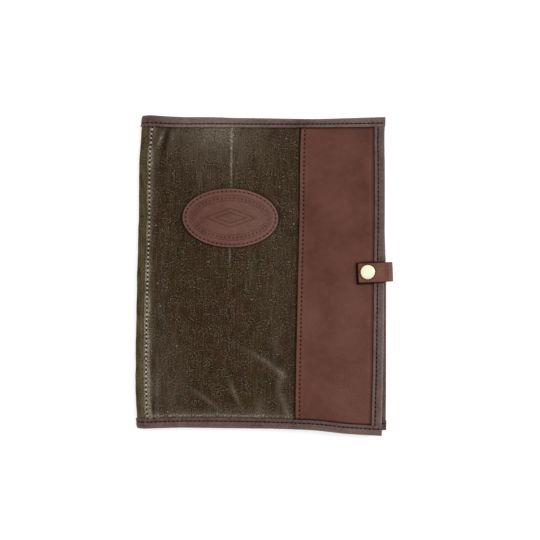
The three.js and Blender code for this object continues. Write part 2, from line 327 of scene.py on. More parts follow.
# Dark places: painted shade on the flanks of folds and creases that turn from the light, and broader darker
# patches where wax stayed
SHADES = (
    Mark(-96.5, 130, 15, 18, 2.3, 0.6),
    Mark(-93.5, 139, 6, 9, 2.2, 0.3),
    Mark(-107, 134, 0, 12, 3, 0.2),
    Mark(-107.5, -134, 0, 12, 1.6, 0.4),
    Mark(-98, 104, 2, 18, 3, 0.35),
    Mark(-79, 68, 0, 46, 9, 0.3),
    Mark(-55, -20, 0, 60, 22, 0.12),
    Mark(6, -76, -40, 9, 5, 0.3),
    Mark(13, -112, 5, 13, 2.4, 0.4),
    Mark(29, -68, 0, 24, 5, 0.3),
    Mark(22, 108, 0, 26, 9, 0.2),
    Mark(-61, 26, -40, 14, 4, 0.2),
)
# Lighter and darker patches in the leather panel's own tone
HIDE_RUBS = (
    Mark(48, -52, 0, 28, 12, 0.25),
    Mark(86, -60, 0, 60, 24, 0.2),
    Mark(92, -128, -20, 32, 24, 0.3),
    Mark(88, 118, 0, 40, 14, 0.15),
)
HIDE_SHADES = (Mark(52, 50, 0, 42, 20, 0.12),)
# Slack of cloth and hide
SLACK = (
    Wave(46, 20, 0.16, 0.3),
    Wave(31, -35, 0.11, 1.1),
    Wave(23, 70, 0.08, 2.0),
    Wave(17, -10, 0.05, 0.7),
    Wave(11, 48, 0.03, 2.9),
)


# Finishes


def set_inputs(tree: Tree, node: bpy.types.Node, inputs: Inputs) -> None:
    """Set or link inputs of a node.

    Args:
        tree: the node tree.
        node: the node.
        inputs: values, or sockets to link from, by the input's name or number.
    """
    for key, value in inputs.items():
        if isinstance(value, bpy.types.NodeSocket):
            tree.links.new(value, node.inputs[key])
        else:
            node.inputs[key].default_value = value


def add_node(tree: Tree, kind: str, inputs: Inputs, output: str | int = 0, **settings: object) -> Socket:
    """Add a shader node with its settings and links.

    Args:
        tree: the node tree.
        kind: the node's type, without its ShaderNode prefix.
        inputs: values, or sockets to link from, by the input's name or number.
        output: the output to hand back.
        settings: properties of the node.

    Returns:
        The chosen output.
    """
    node = tree.nodes.new("ShaderNode" + kind)
    for name, value in settings.items():
        setattr(node, name, value)
    set_inputs(tree, node, inputs)
    return node.outputs[output]


@dataclass(frozen=True)
class Coat:
    """A coat of colour: it starts to show at one value of a pattern and is full at another."""

    pattern: Socket | float
    start: float
    full: float
    share: float  # how much the full coat covers
    colour: str
    within: Socket | float = 1.0  # where the coat is laid at all


@dataclass(frozen=True)
class Finish:
    """A material, named for what it is and for how its surface was made."""

    name: str
    slot: str  # the record's slot for it, or nothing

    def draw(self, add: Add) -> Inputs:
        """Draw the nodes and give the inputs of the shader."""
        raise NotImplementedError

    @staticmethod
    def lay(add: Add, ground: str, coats: list[Coat]) -> Socket:
        """Lay coats of colour over a ground.

        Args:
            add: adds a node.
            ground: the colour under them.
            coats: the coats, from the lowest.

        Returns:
            The colour of the whole.
        """
        colour = linear(ground)
        for coat in coats:
            reach = {"From Min": coat.start, "From Max": coat.full, "To Max": coat.share}
            shown = add("MapRange", {"Value": coat.pattern, **reach})
            amount = add("Math", {0: shown, 1: coat.within}, operation="MULTIPLY")
            colour = add("Mix", {0: amount, 6: colour, 7: linear(coat.colour)}, 2, data_type="RGBA")
        return colour

    @staticmethod
    def noises(add: Add, flat: Socket, sizes: dict[str, tuple[float, float, float]]) -> dict[str, Socket]:
        """Add noise patterns on a piece's cutting pattern.

        Args:
            add: adds a node.
            flat: the piece's pattern coordinates, in metres.
            sizes: for each noise, its size across and along in millimetres, and its detail.

        Returns:
            Each noise's value, from 0 to 1.
        """
        made = {}
        for name, (across, along, detail) in sizes.items():
            scaled = add("Mapping", {"Vector": flat, "Scale": (per_mm(across), per_mm(along), 1)})
            made[name] = add("TexNoise", {"Vector": scaled, "Scale": 1.0, "Detail": detail})
        return made

    def material(self) -> bpy.types.Material:
        """Make the material, or give it where it is made already.

        Returns:
            The material.
        """
        made = bpy.data.materials.get(self.name)
        if made is None:
            made = bpy.data.materials.new(self.name)
            made.use_nodes = True
            tree = made.node_tree
            set_inputs(tree, tree.nodes["Principled BSDF"], self.draw(partial(add_node, tree)))
        return made


@dataclass(frozen=True)
class SpunThread(Finish):
    """Waxed polyester thread, twisted from three plies: a round strand, slanting shadows and a soft gloss."""

    strand: str
    shadow: str

    def draw(self, add: Add) -> Inputs:
        """Draw the twist and the grime of handling.

        Args:
            add: adds a node.

        Returns:
            The inputs of the shader.
        """
        place = add("TexCoord", {}, "Object")
        # The real plies are 0.3 mm wide, and are drawn coarser so that they show
        ply = add("TexNoise", {"Vector": place, "Scale": per_mm(0.9), "Detail": 1.0})
        grime_and_shade = add("TexNoise", {"Vector": place, "Scale": per_mm(6), "Detail": 2.0})
        colour = self.lay(add, self.strand, [
            Coat(ply, 0.6, 0.35, 0.8, self.shadow),
            Coat(grime_and_shade, 0.42, 0.66, 0.8, self.shadow),
        ])
        bump = add("Bump", {"Strength": 0.4, "Distance": 0.15 * MM, "Height": ply})
        return {"Base Color": colour, "Roughness": 0.7, "Specular IOR Level": 0.1, "Normal": bump}


class Yarn(Enum):
    """The sewing threads."""

    DARK = SpunThread("bonded polyester thread, dark brown", "", "#4c322c", "#2a1612")
    RUSSET = SpunThread("bonded polyester thread, red brown", "", "#765148", "#4a2e27")
    TAN = SpunThread("bonded polyester thread, tan", "", "#dccfb4", "#85765b")


@dataclass(frozen=True)
class Seam:
    """A row of machine stitches along an edge, which pulls its piece down, most at the needle holes."""

    yarn: Yarn
    thread: float  # width of the thread
    stitch: float  # length of the thread that shows between two holes
    inset: float  # from the edge of the piece to the row
    sink: float  # how deep the stitches lie in the piece
    hole: tuple[float, float] = (0, 0)  # width of a needle hole, and its length along the row
    groove: tuple[float, float] = (1, 0)  # half width and depth of the pull all along the row
    dimple: tuple[float, float] = (1, 0)  # half width and depth of the pull at a hole

    def pull(self, inset: Array, along: Array) -> Array:
        """Give how far the piece is pulled down, by distances in from its edge and along the row."""
        groove, dimple = (Band(self.inset, *pull).at(inset) for pull in (self.groove, self.dimple))
        return groove + dimple * np.cos(2 * math.pi * along / PITCH)

    def holes(self, add: Add, pattern: Socket) -> Socket:
        """Mark the needle holes of a row along the pattern's second way, each drawn long by its thread.

        Args:
            add: adds a node.
            pattern: the piece's pattern coordinates, in metres.

        Returns:
            1 in a hole and 0 outside.
        """
        width, length = self.hole
        apart = add("VectorMath", {0: pattern, 1: (self.inset * MM, 0, 0)}, operation="SUBTRACT")
        across, along = (add("SeparateXYZ", {0: apart}, way) for way in (0, 1))
        nearest = add("Math", {0: along, 1: PITCH * MM / 2}, operation="PINGPONG")
        offset = add("CombineXYZ", {0: across, 1: nearest})
        oval = add("Mapping", {"Vector": offset, "Scale": (2 * per_mm(width), 2 * per_mm(length), 1)})
        distance = add("VectorMath", {0: oval}, "Value", operation="LENGTH")
        return add("MapRange", {"Value": distance, "From Min": 1.2, "From Max": 0.75})


HINGE_SEAM = Seam(Yarn.TAN, 1.9, 2.5, 4.2, 0.05, (1.7, 1.9), (0.8, 0.4), (1.3, 0.14))
PANEL_SEAM = Seam(Yarn.RUSSET, 0.85, 2.8, 4.0, 0.1, (1.4, 1.8), (0.8, 0.26), (1.4, 0.16))
PATCH_SEAM = Seam(Yarn.RUSSET, 0.85, 2.8, 2.7, 0.1, (1.25, 1.5), (0.75, 0.2), (1.3, 0.16))
TAPE_SEAM = Seam(Yarn.DARK, 0.95, 3.0, 3.4, 0.12, (1.4, 2.2), (0.7, 0.3), (1.5, 0.14))
ROOT_SEAM = Seam(Yarn.DARK, 0.95, 3.0, 2.4, 0.15)


@dataclass(frozen=True)
class WaxedCanvas(Finish):
    """Plain-woven cotton duck rubbed with wax.

    The eye sees a dark cloth with clouds of brown, olive and rust where the wax went in, flecked by its
    threads, streaked along the warp, and faded and dusty where it has been creased or handled. The fading
    also lays painted highlights and a painted sheen, the soil coat lays painted shade, and the needle holes
    are painted dark.
    """

    brown: str
    olive: str
    rust: str
    dark: str
    fleck: str
    # colour of faded wax, and of the painted highlights and sheen
    faded_and_sheen: str
    # colour of scuffed threads, and of the brightest painted highlights on crease ridges
    scuff_and_highlight: str
    seam: Seam | None = None
    # colour of dirt, and of the painted shade
    grime_and_shade: str = "#1d0d04"
    # colour of the painted shade inside needle holes
    hole_shade: str = "#120c08"
    thread: float = 1.1  # the real threads lie 0.8 mm apart, and are drawn wider so that they show
    roughness: float = 0.64

    def draw(self, add: Add) -> Inputs:
        """Draw cloth, wax and scuffs.

        Args:
            add: adds a node.

        Returns:
            The inputs of the shader.
        """
        cloth = add("UVMap", {}, uv_map=PATTERN)
        noise = self.noises(add, cloth, {
            "cloud": (34, 34, 2.0),
            "stain": (13, 16, 3.0),
            "tone": (17, 24, 2.0),
            "dry": (9, 10, 2.0),
            "streak": (self.thread, 26, 1.0),
            "slub": (7, self.thread, 1.0),
            "speck": (1.3, 1.3, 1.0),
            "grit": (1.6, 1.6, 2.0),
        })
        waves = []
        for way in (0, 1):
            along = add("SeparateXYZ", {0: cloth}, way)
            turns = add("Math", {0: along, 1: math.pi * per_mm(self.thread)}, operation="MULTIPLY")
            waves.append(add("Math", {0: turns}, operation="SINE"))
        weave = add("Math", {0: waves[0], 1: waves[1]}, operation="MULTIPLY")
        lint = add("TexVoronoi", {"Vector": cloth, "Scale": per_mm(13)}, "Distance")
        zone = add("MapRange", {"Value": noise["dry"], "From Min": 0.38, "From Max": 0.62, "To Min": 0.2})
        # A crease fades unevenly, and its high threads go pale; the same coats lay the painted highlights on
        # crease ridges and the painted sheen over the head
        rubbed_and_highlight = add("Attribute", {}, "Fac", attribute_name=WEAR_AND_HIGHLIGHT)
        patchy = add("MapRange", {"Value": noise["stain"], "From Min": 0.25, "From Max": 0.6, "To Min": 0.5})
        bare = add("MapRange", {"Value": rubbed_and_highlight, "From Min": 0.45, "From Max": 1.0})
        smoothed = add("MapRange", {"Value": rubbed_and_highlight, "To Min": 1.0, "To Max": 0.4})
        open_weave = add("Math", {0: zone, 1: smoothed}, operation="MULTIPLY")
        soil = add("Attribute", {}, "Fac", attribute_name=SOIL_AND_SHADE)
        holes = self.seam.holes(add, cloth) if self.seam else 0.0

        colour = self.lay(add, self.brown, [
            Coat(noise["cloud"], 0.4, 0.6, 1.0, self.olive),
            Coat(noise["tone"], 0.54, 0.7, 0.7, self.rust),
            Coat(noise["stain"], 0.5, 0.3, 0.6, self.dark),
            # pale coats: faded wax and scuffs, with the painted highlights on crease ridges and the painted
            # sheen over the head
            Coat(rubbed_and_highlight, 0, 1, 1.0, self.faded_and_sheen, patchy),
            Coat(rubbed_and_highlight, 0.75, 1, 0.5, self.scuff_and_highlight, patchy),
            Coat(noise["streak"], 0.52, 0.78, 0.3, self.fleck),
            Coat(noise["streak"], 0.48, 0.24, 0.4, self.dark),
            Coat(noise["slub"], 0.5, 0.25, 0.35, self.dark),
            Coat(noise["speck"], 0.52, 0.7, 1.0, self.fleck, open_weave),
            Coat(noise["speck"], 0.5, 0.3, 1.0, self.dark, open_weave),
            Coat(weave, 0, -1, 0.35, self.dark),
            Coat(noise["grit"], 0.5, 0.68, 1.0, self.scuff_and_highlight, bare),
            Coat(noise["grit"], 0.47, 0.32, 0.8, self.dark, bare),
            Coat(lint, 0.07, 0.03, 0.7, self.scuff_and_highlight),
            # painted shade: darkens the cloth under the tapes' lips, beside the panel and the patch, in folds
            # and at the foot of the turned edge, with some real dirt
            Coat(soil, 0, 1, 1.0, self.grime_and_shade),
            # painted shade inside the needle holes
            Coat(holes, 0, 1, 1.0, self.hole_shade),
        ])
        yarn = add("Math", {0: noise["streak"], 1: noise["slub"]}, operation="ADD")
        height = add("Math", {0: weave, 1: 0.3, 2: yarn}, operation="MULTIPLY_ADD")
        pricked = add("Math", {0: height, 1: holes}, operation="SUBTRACT")
        bump = add("Bump", {"Strength": 0.7, "Distance": 0.3 * MM, "Height": pricked})
        waxed = {"To Min": self.roughness - 0.1, "To Max": self.roughness + 0.1}
        rough = add("MapRange", {"Value": noise["cloud"], "From Min": 0.3, "From Max": 0.7, **waxed})
        return {"Base Color": colour, "Roughness": rough, "Specular IOR Level": 0.05, "Normal": bump}


@dataclass(frozen=True)
class Leather(Finish):
    """Tanned and oiled hide, cut from the roll.

    The eye sees a low sheen over clouds of lighter and darker brown, a fine pebbled grain, a few dark pores,
    and paler edges where the oil has moved away. The pale coat also lays painted highlights on the tapes'
    folds and the tab's bend, the soil coat lays painted shade beside raised parts, in the patch's pressed
    lines and at the tab's edges, and the needle holes are painted dark.
    """

    deep: str
    middle: str
    pale: str
    # colour of rubbed edges, and of the painted highlights on folds and bends
    rubbed_and_highlight: str
    seam: Seam | None
    clouds: float
    grain: float = 1.5  # the real grain is under 1 mm, and is drawn coarser so that it shows
    roughness: float = 0.5
    spots: float = 0.4
    mottle: float = 0.45
    pore: str = "#2c1713"
    # colour of dirt, and of the painted shade
    grime_and_shade: str = "#280e08"
    # colour of the painted shade inside needle holes
    hole_shade: str = "#170000"

    def draw(self, add: Add) -> Inputs:
        """Draw hide, grain and rubbed edges.

        Args:
            add: adds a node.

        Returns:
            The inputs of the shader.
        """
        hide = add("UVMap", {}, uv_map=PATTERN)
        noise = self.noises(add, hide, {
            "broad": (self.clouds, self.clouds, 2.0),
            "fine": (self.clouds / 5, self.clouds / 5, 5.0),
            "pores": (3.4, 3.4, 1.0),
            "nap": (1.8, 2.2, 2.0),
        })
        pebble = add("TexVoronoi", {"Vector": hide, "Scale": per_mm(self.grain)}, "Distance")
        worn_and_highlight = add("Attribute", {}, "Fac", attribute_name=WEAR_AND_HIGHLIGHT)
        patchy = add("MapRange", {"Value": noise["nap"], "From Min": 0.3, "From Max": 0.65, "To Min": 0.3})
        soil = add("Attribute", {}, "Fac", attribute_name=SOIL_AND_SHADE)
        holes = self.seam.holes(add, hide) if self.seam else 0.0

        colour = self.lay(add, self.deep, [
            Coat(noise["broad"], 0.33, 0.66, 1.0, self.middle),
            Coat(noise["fine"], 0.45, 0.8, self.mottle, self.pale),
            Coat(pebble, 0.5, 0.95, 0.22, self.deep),
            Coat(noise["pores"], 0.7, 0.78, self.spots, self.pore),
            # rubbed edges, and painted highlights on the tapes' folds and the tab's bend
            Coat(worn_and_highlight, 0, 1, 1.0, self.rubbed_and_highlight, patchy),
            # painted shade beside the tapes' lips, round the tab and its cap, at the tab's edges and bend and
            # in the patch's pressed lines, with some real dirt
            Coat(soil, 0, 1, 1.0, self.grime_and_shade),
            # painted shade inside the needle holes
            Coat(holes, 0, 1, 1.0, self.hole_shade),
        ])
        height = add("Math", {0: pebble, 1: -0.5, 2: noise["fine"]}, operation="MULTIPLY_ADD")
        pricked = add("Math", {0: height, 1: holes}, operation="SUBTRACT")
        bump = add("Bump", {"Strength": 0.55, "Distance": 0.25 * MM, "Height": pricked})
        oiled = {"To Min": self.roughness - 0.08, "To Max": self.roughness + 0.08}
        sheen = add("MapRange", {"Value": noise["fine"], "From Min": 0.3, "From Max": 0.7, **oiled})
        dirt_and_shade = add("Math", {0: soil, 1: holes}, operation="MAXIMUM")
        rough = add("Math", {0: sheen, 1: dirt_and_shade}, operation="MAXIMUM")
        return {"Base Color": colour, "Roughness": rough, "Specular IOR Level": 0.1, "Normal": bump}


@dataclass(frozen=True)
class PolishedBrass(Finish):
    """Pale spun brass, polished: a bright mirror, dulled in patches, its middle painted whiter as a highlight
    of the overhead light.
    """

    metal: str
    dull: str
    # whiter tint of the middle, a painted highlight
    bare: str

    def draw(self, add: Add) -> Inputs:
        """Draw the handling patches and the painted highlight in the middle.

        Args:
            add: adds a node.

        Returns:
            The inputs of the shader.
        """
        place = add("TexCoord", {}, "Object")
        patch = add("TexNoise", {"Vector": place, "Scale": per_mm(4), "Detail": 3.0})
        rubbed_and_highlight = add("Attribute", {}, "Fac", attribute_name=WEAR_AND_HIGHLIGHT)
        colour = self.lay(add, self.metal, [
            Coat(patch, 0.45, 0.7, 0.6, self.dull),
            # painted highlight: the middle is tinted whiter, as where the dome reflects the overhead light
            Coat(rubbed_and_highlight, 0, 1, 0.85, self.bare),
        ])
        rough = add("MapRange", {"Value": patch, "To Min": 0.26, "To Max": 0.42})
        return {"Base Color": colour, "Metallic": 1.0, "Roughness": rough}


@dataclass(frozen=True)
class PaintedBoard(Finish):
    """Matt white painted board, as under a studio tent: even, with a trace of roller texture."""

    paint: str
    glow: float  # the board is lit from below too, as on a light table

    def draw(self, add: Add) -> Inputs:
        """Draw the roller texture.

        Args:
            add: adds a node.

        Returns:
            The inputs of the shader.
        """
        place = add("TexCoord", {}, "Object")
        roller = add("TexNoise", {"Vector": place, "Scale": per_mm(3)})
        bump = add("Bump", {"Strength": 0.05, "Distance": 0.05 * MM, "Height": roller})
        return {
            "Base Color": linear(self.paint),
            "Roughness": 0.9,
            "Specular IOR Level": 0.1,
            "Normal": bump,
            "Emission Color": linear(self.paint),
            "Emission Strength": self.glow,
        }


class Cloth(Enum):
    """The two canvas pieces, which took the wax differently."""

    FRONT = WaxedCanvas("waxed cotton duck, front", "waxed_canvas", "#3c2917", "#3c2e19", "#452a19",
                        "#1c0f05", "#746859", "#706457", "#a39684", HINGE_SEAM)
    SPINE = WaxedCanvas("waxed cotton duck, spine and back", "waxed_canvas", "#4b3920", "#494021",
                        "#482c18", "#25190b", "#7e7053", "#766a4e", "#9c8f70")


class Hide(Enum):
    """The leathers."""

    PANEL = Leather("pull-up cowhide, oiled", "panel_leather", "#552f26", "#673e33", "#734a3f", "#7f5d52",
                    PANEL_SEAM, 40.0)
    PATCH = Leather("patch cowhide, smooth pressed", "patch_leather", "#58342b", "#674338", "#79554a",
                    "#8a6b62", PATCH_SEAM, 30.0)
    TAPE = Leather("binding sheepskin, skived and folded", "binding_leather", "#543e3b", "#6a544f", "#806c65",
                   "#85726c", TAPE_SEAM, 14.0, 1.3, 0.46, 0.2, 0.7)
    STRAP = Leather("strap cowhide, cut and edged", "tab_leather", "#61392d", "#74483b", "#885f51", "#986f61",
                    None, 12.0)


BRASS = PolishedBrass("spun brass, polished", "snap_brass", "#d9d4ae", "#d6cd9c", "#d1dfd0")
BOARD = PaintedBoard("white board, painted", "", "#f6f6f6", 0.5)


# Mesh work


def deselect() -> None:
    """Deselect every object, so that an operator takes only the new piece."""
    bpy.ops.object.select_all(action="DESELECT")


def pick(piece: Object) -> None:
    """Make a piece the only selected and the active one.

    Args:
        piece: the piece.
    """
    deselect()
    piece.select_set(True)
    bpy.context.view_layer.objects.active = piece


def corners_of(piece: Object) -> Array:
    """Read a piece's corners.

    Args:
        piece: the piece.

    Returns:
        The corners, n by 3, in metres.
    """
    corners = np.empty(len(piece.data.vertices) * 3)
    piece.data.vertices.foreach_get("co", corners)
    return corners.reshape(-1, 3)


def move_corners(piece: Object, corners: Array) -> None:
    """Move a piece's corners to places in metres."""
    piece.data.vertices.foreach_set("co", corners.ravel())
    piece.data.update()


def set_pattern(piece: Object, first: Array, second: Array) -> None:
    """Lay a piece's cutting pattern into its UV map.

    Args:
        piece: the piece.
        first: each corner's place on the pattern's first way, in millimetres.
        second: its place on the second way.
    """
    mesh = piece.data
    layer = mesh.uv_layers.active or mesh.uv_layers.new()
    layer.name = PATTERN
    corner_of_loop = np.empty(len(mesh.loops), dtype=np.int32)
    mesh.loops.foreach_get("vertex_index", corner_of_loop)
    pattern = np.stack([first, second], axis=1)[corner_of_loop] * MM
    layer.uv.foreach_set("vector", pattern.astype(np.float32).ravel())


def set_wear(piece: Object, wear: Array, soil: Array) -> None:
    """Store, corner by corner, how pale a piece is from rubbing and painted highlights, and how dark from dirt
    and painted shade.

    Args:
        piece: the piece.
        wear: how pale each corner is from rubbing and painted highlights, from 0 to 1.
        soil: how dark each corner is from dirt and painted shade, from 0 to 1.
    """
    for name, values in ((WEAR_AND_HIGHLIGHT, wear), (SOIL_AND_SHADE, soil)):
        layer = piece.data.attributes.new(name, "FLOAT", "POINT")
        layer.data.foreach_set("value", np.clip(values, 0, 1).astype(np.float32))


def dress(piece: Object, finish: Finish, *nodes: str) -> Object:
    """Smooth and finish a piece, and put it in the place of its nodes.

    Args:
        piece: the piece.
        finish: its material.
        nodes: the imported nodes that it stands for.

    Returns:
        The piece.
    """
    pick(piece)
    bpy.ops.object.shade_smooth_by_angle(angle=math.radians(SMOOTH_ANGLE))
    piece.data.materials.clear()
    piece.data.materials.append(finish.material())
    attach(piece, "root")
    if nodes:
        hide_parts(*nodes)
    log.info("%s: %d faces", piece.name, len(piece.data.polygons))
    return piece


def turn_on_axis(name: str, profile: Profile, sides: int) -> Object:
    """Turn a profile on the vertical axis, ring by ring from the bottom.

    Args:
        name: the piece's name.
        profile: radius and height of each ring, in millimetres; the last ring closes on the axis.
        sides: corners of a ring.

    Returns:
        The closed piece, standing on the origin.
    """
    deselect()
    radius, height = profile[0]
    bpy.ops.mesh.primitive_circle_add(vertices=sides, radius=radius * MM, location=(0, 0, height * MM))
    piece = bpy.context.object
    piece.name = piece.data.name = name
    bpy.ops.object.transform_apply(location=True)
    bpy.ops.object.mode_set(mode="EDIT")
    bpy.ops.mesh.select_all(action="SELECT")
    bpy.ops.mesh.edge_face_add()
    for next_radius, next_height in profile[1:]:
        rise = (0, 0, (next_height - height) * MM)
        bpy.ops.mesh.extrude_region_move(TRANSFORM_OT_translate={"value": rise})
        if next_radius:
            size = next_radius / radius
            bpy.ops.transform.resize(value=(size, size, 1))
        else:
            bpy.ops.mesh.merge(type="CENTER")
        radius, height = next_radius, next_height
    bpy.ops.mesh.select_all(action="SELECT")
    bpy.ops.mesh.normals_make_consistent(inside=False)
    bpy.ops.object.mode_set(mode="OBJECT")
    return piece


@dataclass
class Sewing:
    """Stitches: one is modelled, and its copies are laid along the seams."""

    sides: int = 8
    rings: int = 6
    flatness: float = 0.8  # height of a stitch by its width
    dive: float = 0.55  # how far its ends go down, by its height
    lengths: tuple[float, float] = (0.82, 1.12)  # the shortest and the longest, by the seam's own
    lean: float = 0.12

    def __post_init__(self) -> None:
        """Model one stitch of unit size along +X: a full strand whose ends dive into the needle holes."""
        deselect()
        bpy.ops.mesh.primitive_uv_sphere_add(segments=self.sides, ring_count=self.rings, radius=0.5)
        stitch = bpy.context.object
        bpy.ops.object.mode_set(mode="EDIT")
        bpy.ops.mesh.select_all(action="SELECT")
        bpy.ops.transform.rotate(value=math.pi / 2, orient_axis="Y", center_override=(0, 0, 0))
        bpy.ops.object.mode_set(mode="OBJECT")
        self.corners = corners_of(stitch)
        reach = np.abs(self.corners[:, 0]) * 2
        girth = np.sqrt(np.clip(1 - reach**2, 1e-9, 1))
        full = np.sqrt(np.clip(1 - reach**4, 0, 1))
        self.corners[:, 1:] *= (full / girth)[:, None]
        self.corners[:, 2] -= self.dive * reach**4
        self.faces = [tuple(face.vertices) for face in stitch.data.polygons]
        bpy.data.objects.remove(stitch)

    def row(self, seam: Seam, length: float, place: SeamPlace) -> tuple[Array, Array, Array]:
        """Space stitches between the needle holes of a seam.

        Args:
            seam: the seam.
            length: its length.
            place: gives points on it.

        Returns:
            Both ends of each stitch and the way its face looks, each n by 3, in millimetres.
        """
        middles = (np.arange(int(length / PITCH)) + 0.5) * PITCH
        draws = np.random.default_rng(len(middles))
        half = seam.stitch / 2 * draws.uniform(*self.lengths, len(middles))
        look = place(middles, 1.0) - place(middles, 0.0)
        start, end = place(middles - half, 0.0), place(middles + half, 0.0)
        side = np.cross(look, end - start) / np.linalg.norm(end - start, axis=1, keepdims=True)
        lean = draws.normal(0, self.lean, (len(middles), 1)) * side
        return start - lean, end + lean, look

    def sew(self, name: str, seam: Seam, length: float, *places: SeamPlace) -> None:
        """Sew a seam, on one face of the work or on both, as one piece.

        Args:
            name: the piece's name.
            seam: the seam.
            length: its length.
            places: gives points on it, for each face.
        """
        rows = [self.row(seam, length, place) for place in places]
        start, end, look = (np.concatenate(ends) for ends in zip(*rows))
        along = end - start
        side = np.cross(look, along)
        side *= seam.thread / np.linalg.norm(side, axis=1, keepdims=True)
        rise = np.cross(along, side)
        rise *= seam.thread * self.flatness / np.linalg.norm(rise, axis=1, keepdims=True)
        axes = np.stack([along, side, rise], axis=1)
        laid = np.einsum("cj,njk->nck", self.corners, axes) + ((start + end) / 2)[:, None, :]
        count = len(self.corners)
        faces = [tuple(i + k * count for i in face) for k in range(len(laid)) for face in self.faces]
        mesh = bpy.data.meshes.new(name)
        mesh.from_pydata((laid.reshape(-1, 3) * MM).tolist(), [], faces)
        piece = bpy.data.objects.new(name, mesh)
        bpy.context.collection.objects.link(piece)
        dress(piece, seam.yarn.value)


# The folded cover


@dataclass
class CoverForm:
    """The folded cover: where each sewn layer lies.

    A place is given by its girth, which runs round the cover from the back's fore edge to the front's with 0
    at the front's hinge line; by how far up it is from the tail's raw edge; and by how far outside the back
    canvas it is.
    """

    shift: tuple[float, float]  # from the cover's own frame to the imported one
    width: float = 247
    height: float = 313
    gap: float = 0.3  # between two layers
    canvas: float = 1.5
    leather: float = 1.6
    tape: float = 1.0
    fold: float = 1.8  # reach of a tape past the raw edge
    tail_lip: float = 8.4
    fore_lip: float = 8.6
    end_lip: float = 9.4
    pad_room: float = 13.4
    bulge: float = 7  # of the spine, past the hinge line
    lap_edge: float = 1.5
    underlap: float = 13
    panel_edge: float = 154
    panel_skew: float = 2.4
    skew_start: float = 0.2  # share of the height under which the panel's edge runs straight
    back_fore: float = 126.7
    back_head: float = -1.0
    back_tail: float = -1.3
    tab_y: float = 1.8
    tab_root: float = 2.4  # room for the tab's root under the back
    root_along: Ramp = Ramp(75, 12.75)  # that room, by the distance up or down from the tab
    root_across: Ramp = Ramp(90, 11.6)  # the same, in from the fore edge
    tape_step: float = 5
    corner_ramp: float = 12
    trim: float = 0.4  # a sheet ends this far inside the raw edge

    def __post_init__(self) -> None:
        """Work out the levels and reaches that follow from the sizes."""
        self.layer = self.gap + self.tape
        self.front_level = self.layer + self.pad_room
        self.half_depth = self.pad_room / 2
        self.spine_arc = math.pi * (self.half_depth + self.bulge) / 2
        self.raw_height = self.height - 2 * self.fold
        self.front_reach = self.width - self.bulge - self.fold
        self.back_reach = self.back_fore + self.width / 2 - self.bulge - self.fold
        self.back_end = -self.spine_arc - self.back_reach
        self.canvas_top = self.gap + self.canvas
        self.panel_top = self.canvas_top + self.gap + self.leather

    def rows(self, step: float) -> Array:
        """Give the stations of a sheet up the cover."""
        return run(self.trim, (self.raw_height - self.trim, step))

    def hinge(self, rise: Array) -> Array:
        """Give the front's hinge line, by the share of the height."""
        return -self.width / 2 + SPINE_DRIFT.at(rise) + self.bulge

    def plan(self, girth: Array, up: Array) -> tuple[Array, Array]:
        """Place points of the front cover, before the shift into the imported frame.

        Args:
            girth: places round the cover.
            up: distances up from the tail's raw edge.

        Returns:
            Their x and y.
        """
        rise = up / self.raw_height
        across = girth / self.front_reach
        hinge = self.hinge(rise)
        x = hinge + (self.width / 2 + FORE_DRIFT.at(rise) - self.fold - hinge) * across
        return x, self.upright(rise, TAIL_DRIFT.at(across), HEAD_DRIFT.at(across))

    def packed(self, x: Array, y: Array, z: Array) -> Array:
        """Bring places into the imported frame, n by 3."""
        return np.stack([x + self.shift[0], y + self.shift[1], z], axis=1)

    def below_head(self, girth: Array, up: Array) -> Array:
        """Give the distance down from the lip of the head's tape."""
        return self.raw_height - up - HEAD_LIP.at(girth / self.front_reach)

    def panel_girth(self, inset: Array, up: Array) -> Array:
        """Give the girth at a distance in from the leather panel's cut edge, which runs a little askew."""
        askew = self.panel_skew * (np.maximum(up / self.raw_height, self.skew_start) - 0.5)
        return self.panel_edge + inset + askew * smooth(inset, self.front_reach - self.panel_edge, 0)

    def upright(self, rise: Array, tail: Array, head: Array) -> Array:
        """Give y between the raw edges, which drift by tail and head."""
        low = -self.height / 2 + self.fold + tail
        return low + (self.height / 2 - self.fold + head - low) * rise

    def back_lift(self, y: Array, from_fore: Array, from_end: Array) -> Array:
        """Lift the back over the tab's root, and at the corners where two tapes cross.

        Args:
            y: places up the cover's own frame.
            from_fore: distances in from the back's fore edge.
            from_end: distances in from its head or tail.

        Returns:
            The lift.
        """
        over_tab = self.root_along.at(np.abs(y - self.tab_y)) * self.root_across.at(from_fore)
        at_fore, at_end = (
            smooth(distance, lip + self.corner_ramp, lip)
            for distance, lip in ((from_fore, self.fore_lip), (from_end, self.end_lip))
        )
        return self.tab_root * over_tab + self.layer * at_fore * at_end

    def at(self, girth: Array, up: Array, out: Array | float) -> Array:
        """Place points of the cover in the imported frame.

        Args:
            girth: places round the cover.
            up: distances up from the tail's raw edge.
            out: distances outside the back canvas.

        Returns:
            The points, n by 3, in millimetres.
        """
        rise = up / self.raw_height
        hinge = self.hinge(rise)
        front_x, front_y = self.plan(girth, up)
        swell = total(SWELL, front_x, front_y) * smooth(girth, 0, self.underlap)
        front = (front_x, front_y, self.front_level + out + swell)

        turn = np.clip(-girth / self.spine_arc, 0, 1) * math.pi
        start = np.zeros_like(rise)
        tail, head = TAIL_DRIFT.at(start), HEAD_DRIFT.at(start)
        spine = (
            hinge - (self.bulge + out) * np.sin(turn),
            self.upright(rise, tail, head),
            self.layer + self.half_depth + (self.half_depth + out) * np.cos(turn),
        )

